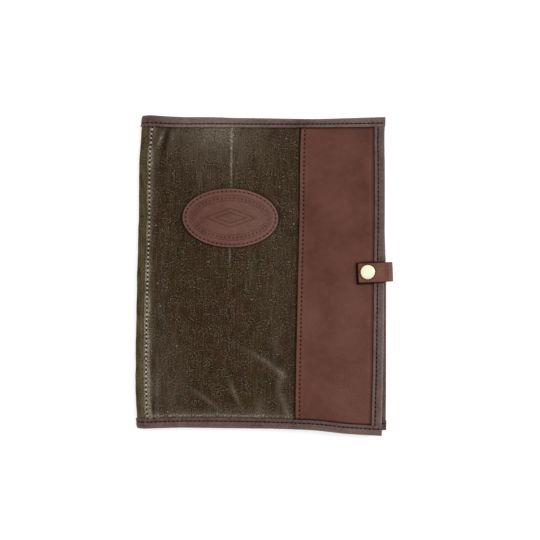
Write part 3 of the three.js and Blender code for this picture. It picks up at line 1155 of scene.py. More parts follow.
        across = (-self.spine_arc - girth) / self.back_reach
        back_tail = tail + (self.back_tail - tail) * across
        back_head = head + (self.back_head - head) * across
        back_y = self.upright(rise, back_tail, back_head)
        lift = self.back_lift(back_y, (1 - across) * self.back_reach, np.minimum(up, self.raw_height - up))
        fore = self.back_fore + BACK_DRIFT.at(rise) - self.fold
        back = (hinge + (fore - hinge) * across, back_y, self.layer - out + lift)

        on_front, on_back = girth >= 0, girth <= -self.spine_arc
        ways = zip(front, spine, back)
        return self.packed(*(np.where(on_front, f, np.where(on_back, b, s)) for f, s, b in ways))

    def end_pile(self, girth: Array) -> tuple[Array, Array]:
        """Pile up the layers under the head and tail tape.

        Args:
            girth: places round the cover.

        Returns:
            The levels of the pile's outer and inner faces.
        """
        def climb(distance: Array) -> Array:
            """Climb onto a thicker stretch ahead of it."""
            return smooth(distance, -self.tape_step, 0)

        tapes = climb(girth - self.front_reach + self.fore_lip) + climb(self.back_end + self.fore_lip - girth)
        past_lap = smooth(girth - self.underlap, 0, self.tape_step)
        outer = self.canvas_top * climb(girth - self.lap_edge) + self.layer * tapes
        outer = outer + (self.panel_top - self.canvas_top) * climb(girth - self.panel_edge)
        return outer, -self.canvas + self.canvas_top * past_lap - self.layer * tapes


# Pieces of the cover


@dataclass
class CutPiece:
    """A piece cut from flat stock and laid on the cover.

    It is a grid over two ways of its own. Each method takes the stations of corners on both.
    """

    form: CoverForm
    folds: ClassVar[Terms] = ()  # relief
    rubs_and_highlights: ClassVar[Terms] = ()  # what is rubbed pale, and where highlights are painted
    dirt_and_shade: ClassVar[Terms] = ()  # where dirt has gathered, and where shade is painted
    seam: ClassVar[Seam | None] = None
    edge: ClassVar[float] = 0.0  # radius of its rounded edge

    def ways(self, first: Array, second: Array) -> Ways:
        """Give the places on each way that the tables name, on inset and, for a seam, on sewn."""
        raise NotImplementedError

    def marks(self) -> tuple[Terms, Terms]:
        """Give the tables of what is pale from rubbing and painted highlights, and of what is dark from dirt
        and painted shade.
        """
        return self.rubs_and_highlights, self.dirt_and_shade

    def place(self, first: Array, second: Array) -> Array:
        """Place corners of the outer face, n by 3, in millimetres."""
        raise NotImplementedError

    def pattern(self, first: Array, second: Array) -> tuple[Array, Array]:
        """Give where corners lie on the cutting pattern."""
        return first, second

    def relief(self, first: Array, second: Array) -> Array:
        """Add up the relief: folds, the pull of the seam and the rounded edge.

        Args:
            first: stations on the piece's first way.
            second: stations on its second way.

        Returns:
            The relief, outwards from the face.
        """
        ways = self.ways(first, second)
        relief = blend(self.folds, ways)
        if self.seam:
            relief = relief - self.seam.pull(*ways["inset"], *ways["sewn"])
        return relief - rounding(*ways["inset"], self.edge) if self.edge else relief

    def thicken(self, piece: Object, wall: float) -> None:
        """Give the piece its wall, inwards from its outer face.

        Args:
            piece: the piece.
            wall: its thickness.
        """
        solidify = piece.modifiers.new("wall", "SOLIDIFY")
        solidify.thickness = wall * MM
        solidify.offset = -1
        bpy.ops.object.modifier_apply(modifier="wall")

    def cut(self, name: str, columns: Array, rows: Array, wall: float, finish: Finish, node: str) -> Object:
        """Cut the piece, lay it in its place and dress it.

        Args:
            name: the piece's name.
            columns: stations along the grid's first way.
            rows: stations along its second way.
            wall: the piece's thickness.
            finish: its material.
            node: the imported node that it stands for.

        Returns:
            The piece.
        """
        deselect()
        steps = (len(columns) - 1, len(rows) - 1)
        bpy.ops.mesh.primitive_grid_add(x_subdivisions=steps[0], y_subdivisions=steps[1], size=2)
        piece = bpy.context.object
        piece.name = piece.data.name = name
        numbers = np.rint((corners_of(piece)[:, :2] + 1) / 2 * steps).astype(int)
        stations = columns[numbers[:, 0]], rows[numbers[:, 1]]
        ways = self.ways(*stations)
        move_corners(piece, self.place(*stations) * MM)
        set_pattern(piece, *self.pattern(*stations))
        set_wear(piece, *(blend(terms, ways) for terms in self.marks()))
        pick(piece)
        self.thicken(piece, wall)
        return dress(piece, finish, node)

    @staticmethod
    def flat(columns: Array, rows: Array) -> tuple[float, float]:
        """Give the size of the cutting pattern, in metres."""
        return np.ptp(columns) * MM, np.ptp(rows) * MM


# The spine is rubbed in patches
SPINE_PATCHES = on("spine", Level(0.55), Wave(43, 0, 0.3, 0), Wave(13.3817, 45.2277, 0.25, 0))
CLEAR_OF_LAP = on("girth", Ramp(3, -2))  # the cloth lies flat under the lap


@dataclass
class SpineBackCanvas(CutPiece):
    """The canvas of the spine and the back, folded round once, with its end under the front's turned edge.

    Its ways are the girth and the height up. It has slack on the back, and is rubbed down the spine, on the
    middle of the back and at the turned edge, with dirt on the spine's shoulder and painted shade under that
    edge.
    """

    row_step: float = 2.2
    shoulder: float = 4.0  # of the back, beside the spine, where the columns get finer
    column_steps: tuple[float, ...] = (3.2, 1.4, 0.7, 1.5)  # on back, shoulder, spine and lap
    folds = (
        (CLEAR_OF_LAP, on("from_end", Ramp(8, 24, 0.6)), on("from_fore", Ramp(8, 24)), on("cloth", *SLACK)),
        (CLEAR_OF_LAP, on("arc", Band(-0.45, 0.3)), on("up", Wave(37, 0, 0.12, 0.4), Wave(16.3, 0, 0.06, 0))),
        (on("girth", Ramp(-2, 3, -0.1)),),
    )
    rubs_and_highlights = (
        (SPINE_PATCHES, on("girth", Band(-5, 3.5, 0.6))),
        (SPINE_PATCHES, on("past_arc", Band(0, 5, 0.7))),
        (on("girth", Band(-140, 70, 0.4)), on("up", Band(150, 90))),
        (on("girth", Band(1.0, 2.6)), on("up", Level(0.45), Ramp(190, 60, 0.35))),
    )
    dirt_and_shade = (
        (on("girth", Band(-7.5, 4)), on("up", Level(0.1), Wave(31, 0, 0.25, 2), Wave(13.7, 0, 0.2, 0))),
        # painted shade under the front's turned edge
        (on("girth", Ramp(0.8, 1.6, 0.15)),),
    )

    def ways(self, girth: Array, up: Array) -> Ways:
        """Give the places on each way.

        Args:
            girth: places round the cover.
            up: distances up from the tail's raw edge.

        Returns:
            The places, by the way's name.
        """
        return {
            "girth": (girth,),
            "up": (up,),
            "cloth": (girth, up),
            "spine": (up, girth),
            "arc": (girth / self.form.spine_arc,),
            "past_arc": (girth + self.form.spine_arc,),
            "from_end": (np.minimum(up, self.form.raw_height - up),),
            "from_fore": (girth - self.form.back_end,),
        }

    def place(self, girth: Array, up: Array) -> Array:
        """Place the cloth."""
        return self.form.at(girth, up, self.relief(girth, up))

    def build(self) -> None:
        form = self.form
        arc = form.spine_arc
        ends = (-arc - self.shoulder, -arc, 0, form.underlap)
        columns = run(form.back_end + form.trim, *zip(ends, self.column_steps))
        rows = form.rows(self.row_step)
        piece = self.cut("canvas_spine_back", columns, rows, form.canvas, Cloth.SPINE.value, "back_canvas")
        flat = self.flat(columns, rows)


@dataclass
class OvalPatch(CutPiece):
    """The oval leather patch, sewn down round its edge, with plain pressed rules and a row of beads.

    Its ways are the angle round the oval and the distance in from its edge. It is rubbed at its edge,
    bleached towards the fore edge, and darkened with painted shade where it is pressed.
    """

    x: float = -30.3
    y: float = 56
    length: float = 96
    width: float = 59
    thickness: float = 1.5
    turn: float = -1
    rules: tuple[Band, ...] = (Band(7.2, 0.35, 0.65), Band(12.2, 0.35, 0.65))
    beads: float = 9.7  # inset of their row
    bead_pitch: float = 3.6
    bead_round: float = 0.8  # length of their row, by the seam's
    bead: Ramp = Ramp(1.25, 0.625)
    lozenges: Profile = ((25, 9.5), (15, 5.2))  # half length and half width of each
    lozenge_line: Band = Band(0, 0.5, 0.8)
    border: Ramp = Ramp(5.2, 5.6)  # the pattern runs round the seam outside it, and straight inside it
    apart: float = 100  # how far the straight pattern lies from the seam's, so that it has no needle holes
    core: float = 13.0  # inset inside which the rings shrink towards the middle
    sink: float = 0.4
    weld: float = 0.01  # corners this close are joined
    spare: float = 0.01  # keeps the last stitch of a seam that is a whole number of them long
    sides: int = 480
    measures: int = 2001  # places round the oval at which its seam is measured
    legs: Profile = (
        (0.9, 0.15), (1.8, 0.45), (3.6, 0.3), (6.4, 0.55), (8.0, 0.2), (8.6, 0.3), (10.8, 0.2), (11.5, 0.35),
        (13.0, 0.2), (14.0, 0.02),
    )
    seam = PATCH_SEAM
    edge = 0.8
    folds = (
        (on("inset", Band(4.8, 1.2, 0.12), Band(1.3, 0.8, 0.06)),),
        (on("pressed", Share(-0.5)),),
    )
    rubs_and_highlights = (
        (on("inset", Band(1.0, 0.8, 0.3), Band(5.2, 1.0, 0.15)),),
        (on("along", Level(0.08), Ramp(-30, 48, 0.32)),),
    )
    # painted shade in the pressed rules, beads and lozenges
    dirt_and_shade = ((on("pressed", Share(0.45)),),)

    def __post_init__(self) -> None:
        """Measure the seam round the patch, and even out its pitch."""
        self.angles = np.linspace(0, 2 * math.pi, self.measures)
        along, across = self.outline(self.angles, np.full_like(self.angles, self.seam.inset))
        distances = np.concatenate([[0], np.cumsum(np.hypot(np.diff(along), np.diff(across)))])
        self.seam_length = distances[-1]
        self.sewn_length = round(self.seam_length / PITCH) * PITCH
        self.sewn = distances * self.sewn_length / self.seam_length

    def outline(self, angle: Array, inset: Array) -> tuple[Array, Array]:
        """Give places on the patch by angle and by distance in from its edge.

        Args:
            angle: angles round the oval.
            inset: distances in from the edge; past the core they shrink to the middle.

        Returns:
            Places along and across the patch.
        """
        half_length, half_width = self.length / 2, self.width / 2
        cosine, sine = np.cos(angle), np.sin(angle)
        normal_x, normal_y = cosine * half_width, sine * half_length
        step = np.minimum(inset, self.core) / np.hypot(normal_x, normal_y)
        shrink = 1 - np.clip(inset - self.core, 0, 1)
        along, across = half_length * cosine - step * normal_x, half_width * sine - step * normal_y
        return along * shrink, across * shrink

    def outside(self, x: Array, y: Array) -> Array:
        """Give about how far places on the cover lie outside the patch's edge."""
        size = np.hypot((x - self.x) / self.length, (y - self.y) / self.width) * 2
        return (size - 1) * self.width / 2

    def around(self, angle: Array) -> Array:
        """Give the distance along the seam at angles round the oval."""
        return np.interp(angle, self.angles, self.sewn)

    def pressed(self, angle: Array, inset: Array) -> Array:
        """Press in the plain ornament: rules, beads and nested lozenges.

        Args:
            angle: angles round the oval.
            inset: distances in from its edge.

        Returns:
            The depth, from 0 to 1.
        """
        beads = round(self.seam_length * self.bead_round / self.bead_pitch)
        off = (self.around(angle) * beads / self.sewn_length + 0.5) % 1 - 0.5
        dots = np.hypot(off * self.seam_length * self.bead_round / beads, inset - self.beads)
        pressed = total(self.rules, inset) + self.bead.at(dots)
        along, across = (np.abs(way) for way in self.outline(angle, inset))
        for half_length, half_width in self.lozenges:
            off = (along / half_length + across / half_width - 1) * half_width
            pressed = pressed + self.lozenge_line.at(off)
        return pressed

    def ways(self, angle: Array, inset: Array) -> Ways:
        """Give the places on each way.

        Args:
            angle: angles round the oval.
            inset: distances in from its edge.

        Returns:
            The places, by the way's name.
        """
        return {
            "inset": (inset,),
            "sewn": (self.around(angle),),
            "along": self.outline(angle, inset)[:1],
            "pressed": (self.pressed(angle, inset),),
        }

    def lay(self, angle: Array, inset: Array, level: Array | float) -> Array:
        """Lay places of the patch on the front cover.

        Args:
            angle: angles round the oval.
            inset: distances in from its edge.
            level: heights above the cover's top.

        Returns:
            The points, n by 3, in millimetres.
        """
        x, y = turned(*self.outline(angle, inset), self.turn)
        x, y = x + self.x, y + self.y
        base = self.form.front_level + self.form.canvas_top + self.form.gap
        return self.form.packed(x, y, base + level + total(SWELL, x, y))

    def place(self, angle: Array, inset: Array) -> Array:
        """Place the hide's face."""
        return self.lay(angle, inset, self.thickness + self.relief(angle, inset))

    def pattern(self, angle: Array, inset: Array) -> tuple[Array, Array]:
        """Lay the pattern round the seam at the border, and straight inside it.

        Args:
            angle: angles round the oval.
            inset: distances in from its edge.

        Returns:
            The places on the pattern's two ways.
        """
        inside, seam = self.border.at(inset), self.around(angle)
        along, across = self.outline(angle, inset)
        return inset + inside * (self.apart + along - inset), seam + inside * (across - seam)

    def on_seam(self, along: Array, lift: float) -> Array:
        """Place points on the seam.

        Args:
            along: distances along it.
            lift: the distance off the piece.

        Returns:
            The points, n by 3, in millimetres.
        """
        angle = np.interp(along % self.sewn_length, self.sewn, self.angles)
        inset = np.full_like(angle, self.seam.inset)
        return self.lay(angle, inset, self.thickness - self.seam.sink + lift)

    def thicken(self, piece: Object, wall: float) -> None:
        """Join the rings, draw the rim down and close it.

        Args:
            piece: the piece; not used, as the operators work on the active piece.
            wall: how far the rim is drawn down.
        """
        bpy.ops.object.mode_set(mode="EDIT")
        bpy.ops.mesh.select_all(action="SELECT")
        bpy.ops.mesh.remove_doubles(threshold=self.weld * MM)
        bpy.ops.mesh.select_all(action="DESELECT")
        bpy.ops.mesh.select_non_manifold()
        bpy.ops.mesh.extrude_region_move(TRANSFORM_OT_translate={"value": (0, 0, -wall * MM)})
        bpy.ops.mesh.edge_face_add()
        bpy.ops.mesh.select_all(action="SELECT")
        bpy.ops.mesh.normals_make_consistent(inside=False)
        bpy.ops.object.mode_set(mode="OBJECT")

    def build(self, sewing: Sewing) -> None:
        """Build the patch from rings, and sew it on.

        Args:
            sewing: makes the stitches.
        """
        angles = np.linspace(0, 2 * math.pi, self.sides + 1)
        wall = self.thickness - self.edge + self.form.gap + self.sink
        self.cut("leather_oval_patch", angles, run(0, *self.legs), wall, Hide.PATCH.value, "oval_patch")
        sewing.sew("stitches_patch", self.seam, self.sewn_length + self.spare, self.on_seam)


@dataclass
class SnapFastening(CutPiece):
    """The strap that comes round from the back, with the brass cap on it and the stud under it.

    Its ways run along the strap from its free end, and across it by the share of its half width. It is
    pressed in round the cap and wrinkled at the bend, with a painted highlight where the bend starts, and
    painted shade round the cap, in the bend and at its edges.
    """

    x: float = 106.5
    y: float = 1.8
    turn: float = 2.5
    low: float = 0.6  # the snap was set this far above the strap's middle line
    free_end: float = -9.5
    bend_start: float = 18.5
    reach: float = 26
    root: float = -21.2
    width: float = 19.5
    strap: float = 1.8
    corner: float = 2.2
    stand: float = 3.6
    clear: float = 0.3
    box: float = 14.0  # length of the box of stitches at the root
    rim: float = 0.6  # of the strap, where its grid is finest
    tip: float = 2.4  # of both its ends, where the columns are fine
    column_steps: tuple[float, ...] = (0.1, 0.3, 0.7, 0.6, 1.0, 0.3, 0.1)
    row_steps: tuple[float, ...] = (0.1, 0.55, 0.1)
    # how far out from the axis the brass is painted whiter as a highlight
    brass_highlight: Ramp = Ramp(6.2, 0.5)
    brass_sides: int = 56
    cap: Profile = (
        (2.0, -1.8), (2.0, -0.05), (6.7, -0.05), (7.15, 0.03), (7.37, 0.22), (7.4, 0.6), (7.35, 0.9),
        (7.22, 1.12), (7.02, 1.26), (6.7, 1.36), (6.2, 1.43), (5.4, 1.52), (4.4, 1.61), (3.2, 1.7),
        (1.8, 1.77), (0, 1.8),
    )
    stud: Profile = (
        (5.2, 0), (5.4, 0.15), (5.4, 0.62), (5.2, 0.8), (4.5, 0.95), (4.1, 1.3), (4.1, 1.7), (4.5, 2.0),
        (4.6, 2.4), (4.4, 2.85), (3.9, 3.0), (0, 3.0),
    )
    edge = 0.45
    folds = (
        (on("along", Ramp(0, 4, 0.12)), on("crown", Share(1))),
        (on("along", Wave(3.1, 0, 0.12, math.pi / 2)), on("past_bend", Band(2, 5))),
        (on("from_cap", Ramp(10, 6.5, -0.3)),),
    )
    # painted highlight where the strap starts to bend
    rubs_and_highlights = ((on("past_bend", Band(-4.5, 5, 0.25), Band(4, 2, 0.2)),),)
    dirt_and_shade = (
        # painted shade round the cap
        (on("from_cap", Ramp(8.6, 7.4, 0.75)),),
        # painted shade in the crease at the bend
        (on("past_bend", Band(1.6, 0.6, 0.3)),),
        # painted shade along the strap's rounded edges
        (on("from_edge", Ramp(0.9, 0.2, 0.6)),),
    )

    def __post_init__(self) -> None:
        """Work out the strap's path."""
        self.under = self.form.front_level + self.form.panel_top
        self.top = self.under + self.stand + self.strap / 2
        self.bottom = self.clear + self.strap / 2
        self.depth = (self.top - self.bottom) / 2
        self.bulge = self.reach - self.strap / 2 - self.bend_start
        self.upper = self.bend_start - self.free_end
        self.bend = math.pi * (self.depth + self.bulge) / 2
        self.length = self.upper + self.bend + self.bend_start - self.root

    def packed(self, x: Array, y: Array, z: Array) -> Array:
        """Bring places from the snap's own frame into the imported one."""
        x, y = turned(x, y, self.turn)
        return self.form.packed(x + self.x, y + self.y, z)

    def outside(self, x: Array, y: Array) -> Array:
        """Give how far places on the cover lie outside the strap's upper part."""
        along, across = turned(x - self.x, y - self.y, -self.turn)
        return np.maximum(self.free_end - along, np.abs(across + self.low) - self.width / 2)

    def half_width(self, along: Array) -> Array:
        """Give the strap's half width, which rounds the corners of both ends."""
        return self.width / 2 - rounding(np.minimum(along, self.length - along), self.corner)

    def ways(self, along: Array, share: Array) -> Ways:
        """Give the places on each way.

        Args:
            along: distances from the free end.
            share: places across, by the half width.

        Returns:
            The places, by the way's name.
        """
        half, from_end = self.half_width(along), np.minimum(along, self.length - along)
        across = share * half
        return {
            "along": (along,),
            "crown": (1 - share**2,),
            "past_bend": (along - self.upper,),
            "from_cap": (np.hypot(along + self.free_end, across - self.low),),
            "inset": (np.minimum(half - np.abs(across), from_end),),
            "from_edge": (np.minimum(self.width / 2 - np.abs(across), from_end),),
        }

    def on_strap(self, along: Array, across: Array, lift: Array | float) -> Array:
        """Place points on the strap's outer face.

        Args:
            along: distances from the free end.
            across: distances from the middle line.
            lift: distances off the face.

        Returns:
            The points, n by 3, in millimetres.
        """
        turn = np.clip((along - self.upper) / self.bend, 0, 1) * math.pi
        past = np.clip(along - self.upper - self.bend, 0, None)
        x = self.free_end + np.minimum(along, self.upper) + self.bulge * np.sin(turn) - past
        z = (self.top + self.bottom) / 2 + self.depth * np.cos(turn)
        look_x, look_z = np.sin(turn) / self.bulge, np.cos(turn) / self.depth
        off = (self.strap / 2 + lift) / np.hypot(look_x, look_z)
        return self.packed(x + off * look_x, across - self.low, z + off * look_z)

    def place(self, along: Array, share: Array) -> Array:
        """Place the strap's outer face."""
        return self.on_strap(*self.pattern(along, share), self.relief(along, share))

    def pattern(self, along: Array, share: Array) -> tuple[Array, Array]:
        """Give the pattern: along the strap and across it."""
        return along, share * self.half_width(along)

    def on_box_seam(self, along: Array, lift: float) -> Array:
        """Place points on the box of stitches that holds the strap's root.

        Args:
            along: distances along it.
            lift: the distance off the piece.

        Returns:
            The points, n by 3, in millimetres.
        """
        back = self.length - ROOT_SEAM.inset
        front, side = back - self.box, self.width / 2 - ROOT_SEAM.inset
        x, y = np.array([front, back, back, front, front]), np.array([-side, -side, side, side, -side])
        legs = np.concatenate([[0], np.cumsum(np.hypot(np.diff(x), np.diff(y)))])
        there = along % legs[-1]
        return self.on_strap(np.interp(there, legs, x), np.interp(there, legs, y), lift - ROOT_SEAM.sink)

    def brass(self, name: str, profile: Profile, level: float, node: str) -> None:
        """Turn a brass piece and stand it on the snap's axis.

        Args:
            name: the piece's name.
            profile: radius and height of each ring.
            level: the height that it stands on.
            node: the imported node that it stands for.
        """
        piece = turn_on_axis(name, profile, self.brass_sides)
        corners = corners_of(piece)
        radius = np.hypot(corners[:, 0], corners[:, 1]) / MM
        set_wear(piece, self.brass_highlight.at(radius), 0 * radius)
        middle = self.packed(np.zeros(1), np.zeros(1), np.array([level]))
        move_corners(piece, corners + middle * MM)
        dress(piece, BRASS, node)

    def build(self, sewing: Sewing) -> None:
        """Build the strap, its box of stitches, the cap and the stud.

        Args:
            sewing: makes the stitches.
        """
        half, length = self.width / 2, self.length
        bend_end = self.upper + self.bend
        ends = (self.rim, self.tip, self.upper, bend_end, length - self.tip, length - self.rim, length)
        columns = run(0, *zip(ends, self.column_steps))
        rows = run(-half, *zip((-half + self.rim, half - self.rim, half), self.row_steps)) / half
        self.cut("strap_tab", columns, rows, self.strap, Hide.STRAP.value, "snap_tab")
        box_length = 2 * (self.box + self.width - 2 * ROOT_SEAM.inset)
        sewing.sew("stitches_tab_root", ROOT_SEAM, box_length, self.on_box_seam)
        cap_level = self.under + self.stand + self.strap + self.form.gap
        self.brass("brass_cap", self.cap, cap_level, "snap_cap")
        self.brass("brass_stud", self.stud, self.under + self.form.gap, "snap_stud")


LOOSE = (on("girth", Ramp(10, 20)), on("girth", Ramp(154, 146)))  # where the front canvas isn't held flat
HELD = on("up", Level(0.6), Ramp(190, 60, 0.3), Wave(37, 0, 0.15, 0))  # how much of its hinge edge is handled
HEM_RISE = 0.7  # how far the turned edge, with its two plies, stands above the single cloth


@dataclass
class FrontCanvas(CutPiece):
    """The front cover's canvas, whose hinge edge is turned under and sewn down on the spine with tan thread.

    Its ways are the girth and the height up. It is rubbed on its creases and along its turned edge, with
    painted highlights on the crease ridges and just above the tail's lip and a partly painted sheen over the
    head; painted shade darkens its folds, the foot of the turned edge and the cloth beside the tapes, the
    panel and the patch.
    """

    patch: OvalPatch
    ply: float = 1.1
    hem: float = 8.0
    hem_foot: float = 0.12
    row_step: float = PITCH / 3
    legs: Profile = ((6.2, 0.4), (12, 0.7), (80, 1.9), (90, 0.7))  # finer at the seam and at the long crease
    under_panel: float = 4.0  # the columns stay fine as far as this under the panel
    hem_step: float = 4.0
    roll_step: float = 0.35
    cloth_step: float = 1.9
    hidden_step: float = 6.0
    seam = HINGE_SEAM
    folds = (
        (on("past_hem", Ramp(2.6, 0.8, HEM_RISE)),),
        (on("inset", Band(7.2, 1.6, 0.12)),),
        (*LOOSE, on("plan", *CRESTS, *SLACK)),
        (*LOOSE, on("above_tail", Band(0, 2.5, -0.25))),
        (*LOOSE, on("below_head", Band(0, 2.5, -0.25))),
    )
    rubs_and_highlights = (
        # rubbed creases, with painted highlights on the crease ridges and the partly painted sheen over the
        # head
        (on("plan", *SCUFFS_AND_HIGHLIGHTS),),
        (HELD, on("girth", Band(1.2, 2.4, 1.3), Band(5.4, 2.8, 1.05))),
        (HELD, on("girth", Band(9, 4.0, 0.35)), on("up", Level(1), Band(200, 45, -1))),
        # painted highlight on the cloth just above the tail tape's lip
        (on("above_tail", Band(2.2, 1.5, 0.45)),),
    )
    dirt_and_shade = (
        # painted shade in folds and creases, and darker patches of the cloth
        (on("plan", *SHADES),),
        # painted shade under the head tape's lip, lighter along the middle of the head
        (on("below_head", Ramp(1.8, 0.5, 0.7)), on("girth", Level(1), Band(75, 50, -0.85))),
        # painted shade above the tail tape's lip
        (on("above_tail", Ramp(1.2, 0.2, 0.4)),),
        # painted shadow beside the leather panel's edge
        (on("past_panel", Ramp(-3.2, -0.8, 0.7)),),
        # painted shadow round the patch
        (on("outside_patch", Ramp(2.0, 0.2, 0.65)),),
        # painted shade at the foot of the turned edge
        (on("girth", Band(10.6, 1.2, 0.18)), on("up", Level(0.6), Wave(61, 0, 0.4, 1))),
    )

    def __post_init__(self) -> None:
        """Work out the roll of the turned edge."""
        self.roll = (self.form.canvas_top + HEM_RISE - self.hem_foot) / 2
        self.roll_middle = self.form.lap_edge + self.roll

    def ways(self, girth: Array, up: Array) -> Ways:
        """Give the places on each way.

        Args:
            girth: places round the cover.
            up: distances up from the tail's raw edge.

        Returns:
            The places, by the way's name.
        """
        plan = self.form.plan(girth, up)
        return {
            "girth": (girth,),
            "inset": (girth,),
            "up": (up,),
            "sewn": (up,),
            "plan": plan,
            "past_hem": (girth - self.hem,),
            "above_tail": (up - self.form.tail_lip,),
            "below_head": (self.form.below_head(girth, up),),
            "past_panel": (girth - self.form.panel_girth(0 * up, up),),
            "outside_patch": (self.patch.outside(*plan),),
        }

    def place(self, girth: Array, up: Array) -> Array:
        """Place the cloth: flat over the front, rolled at the hinge edge, and turned under it.

        Args:
            girth: places round the cover.
            up: distances up from the tail's raw edge.

        Returns:
            The points, n by 3, in millimetres.
        """
        past = np.clip(self.roll_middle - girth, 0, None)
        turn = np.clip(past / self.roll, 0, math.pi)
        under = np.clip(past - math.pi * self.roll, 0, None)
        there = np.where(past > 0, self.roll_middle - self.roll * np.sin(turn) + under, girth)
        top = self.form.canvas_top + self.relief(np.maximum(girth, self.roll_middle), up)
        return self.form.at(there, up, top - self.roll * (1 - np.cos(turn)))

    def on_seam(self, along: Array, lift: float) -> Array:
        """Place points on the tan seam."""
        level = self.form.canvas_top + HEM_RISE - self.seam.sink
        return self.form.at(np.full_like(along, self.seam.inset), along, level + lift)

    def build(self, sewing: Sewing) -> None:
        """Args:
            sewing: makes the stitches.
        """
        form = self.form
        roll_end = self.roll_middle - math.pi * self.roll
        turned_under = ((roll_end, self.hem_step), (self.roll_middle, self.roll_step))
        to_panel = (form.panel_edge + self.under_panel, self.cloth_step)
        hidden = (form.front_reach - form.trim, self.hidden_step)
        columns = run(roll_end - self.hem, *turned_under, *self.legs, to_panel, hidden)
        rows = form.rows(self.row_step)
        piece = self.cut("canvas_front", columns, rows, self.ply, Cloth.FRONT.value, "front_canvas")
        sewing.sew("stitches_hinge_seam", self.seam, form.raw_height, self.on_seam)
        self.flat(columns, rows)


@dataclass
class LeatherPanel(CutPiece):
    """The leather facing on the fore third of the front, sewn down along its cut edge with red-brown thread.

    Its ways run in from its cut edge and up. It is full beside its seam, rubbed at its cut edge and beside
    the tape, and darkened with painted shade beside the lips of the tapes and with the tab's painted shadow
    round the tab.
    """

    snap: SnapFastening
    tab_shade: float = 0.4  # the tab's painted shadow lies this far to its left and below it
    row_step: float = PITCH / 3
    column_step: float = 2.0
    legs: Profile = ((0.8, 0.13), (2.4, 0.4), (5.6, 0.32), (12, 0.9), (55.8, 2), (60.6, 0.6))
    seam = PANEL_SEAM
    edge = 0.7
    folds = (
        (on("inset", Band(2.0, 1.3, 0.15), Band(9, 4, 0.2)),),
        (on("inset", Ramp(6, 20, 0.8)), on("hide", *SLACK)),
    )
    rubs_and_highlights = (
        (on("inset", Band(1.5, 1.2, 0.5), Band(6.5, 1.4, 0.15)),),
        (on("to_tape", Band(3, 2.5, 0.15)),),
        (on("plan", *HIDE_RUBS),),
    )
    dirt_and_shade = (
        # painted shade beside the tapes' lips
        (on("from_lip", Ramp(2.3, 0.6, 0.9)),),
        # the tab's painted shadow on the panel
        (on("outside_tab", Ramp(2.4, 0.7)),),
        (on("plan", *HIDE_SHADES),),
    )

    def ways(self, inset: Array, up: Array) -> Ways:
        """Give the places on each way.

        Args:
            inset: distances in from the cut edge.
            up: distances up from the tail's raw edge.

        Returns:
            The places, by the way's name.
        """
        form = self.form
        girth, to_lip = form.panel_girth(inset, up), form.front_reach - form.fore_lip
        x, y = form.plan(girth, up)
        lips = (form.below_head(girth, up), up - form.tail_lip, to_lip - girth)
        return {
            "inset": (inset,),
            "sewn": (up,),
            "hide": (inset, up),
            "plan": (x, y),
            "to_tape": (to_lip - form.panel_edge - inset,),
            "from_lip": (np.min(lips, axis=0),),
            "outside_tab": (self.snap.outside(x + self.tab_shade, y + self.tab_shade),),
        }

    def lay(self, inset: Array, up: Array, level: Array | float) -> Array:
        """Lay places of the panel on the front cover at a level above its top face."""
        return self.form.at(self.form.panel_girth(inset, up), up, self.form.panel_top + level)

    def place(self, inset: Array, up: Array) -> Array:
        """Place the hide."""
        return self.lay(inset, up, self.relief(inset, up))

    def on_seam(self, along: Array, lift: float) -> Array:
        """Place points on the panel's seam."""
        return self.lay(np.full_like(along, self.seam.inset), along, lift - self.seam.sink)

    def build(self, sewing: Sewing) -> None:
        """Args:
            sewing: makes the stitches.
        """
        form = self.form
        columns = run(0, *self.legs, (form.front_reach - form.panel_edge - form.trim, self.column_step))
        rows = form.rows(self.row_step)
        wall = form.leather + form.gap
        piece = self.cut("leather_fore_panel", columns, rows, wall, Hide.PANEL.value, "leather_panel")
        sewing.sew("stitches_panel_seam", self.seam, form.raw_height, self.on_seam)
        self.flat(columns, rows)


@dataclass(frozen=True)
class Handling:
    """How a bound edge was handled: what of its tape is pale from rubbing and painted highlights, and what is
    dark from dirt and painted shade.
    """

    name: str
    rubs_and_highlights: Terms
    dirt_and_shade: Terms


FOLD_WEAR_AND_HIGHLIGHT = (on("row", Band(2.25, 0.25, 0.5)),)  # rubbed along the fold, with a painted highlight there
LIP = (on("inset", Ramp(3.0, 2.0, 0.3)),)  # rubbed between the lip's end and the seam
SEAM_DIRT = (on("inset", Band(TAPE_SEAM.inset, 0.6, 0.4)),)  # dirt along the seam


class Edge(Enum):
    """The four bound edges."""

    HEAD = Handling(
        "head",
        (
            FOLD_WEAR_AND_HIGHLIGHT,
            (on("inset", Ramp(3.0, 2.0, 0.1)),),
            (on("inset", Ramp(4.0, 2.0, 0.35)), on("along", Band(68, 42))),
            (on("along", Band(68, 42, 0.6), Ramp(120, 200, 0.36)),),
        ),
        (SEAM_DIRT, (on("along", Band(8, 12, 0.3), Band(156, 16, 0.22)),)),
    )
    TAIL = Handling(
        "tail",
        (FOLD_WEAR_AND_HIGHLIGHT, (on("along", Ramp(130, 220, 0.4)),)),
        (SEAM_DIRT, (on("inset", Ramp(3.4, 2.4, 0.2)),)),
    )
    FORE_FRONT = Handling(
        "fore_front",
        # the fold's painted highlight, brighter towards the tail
        (LIP, (on("row", Band(2.25, 0.25)), on("along", Level(0.4), Ramp(190, 100, 0.6)))),
        # dirt along the seam, the tab's painted shadow on the tape, and a darker end towards the head
        (SEAM_DIRT, (on("outside_tab", Ramp(1.9, 0.4, 0.9)),), (on("along", Ramp(120, 200, 0.14)),)),
    )
    FORE_BACK = Handling("fore_back", (LIP, FOLD_WEAR_AND_HIGHLIGHT), (SEAM_DIRT,))


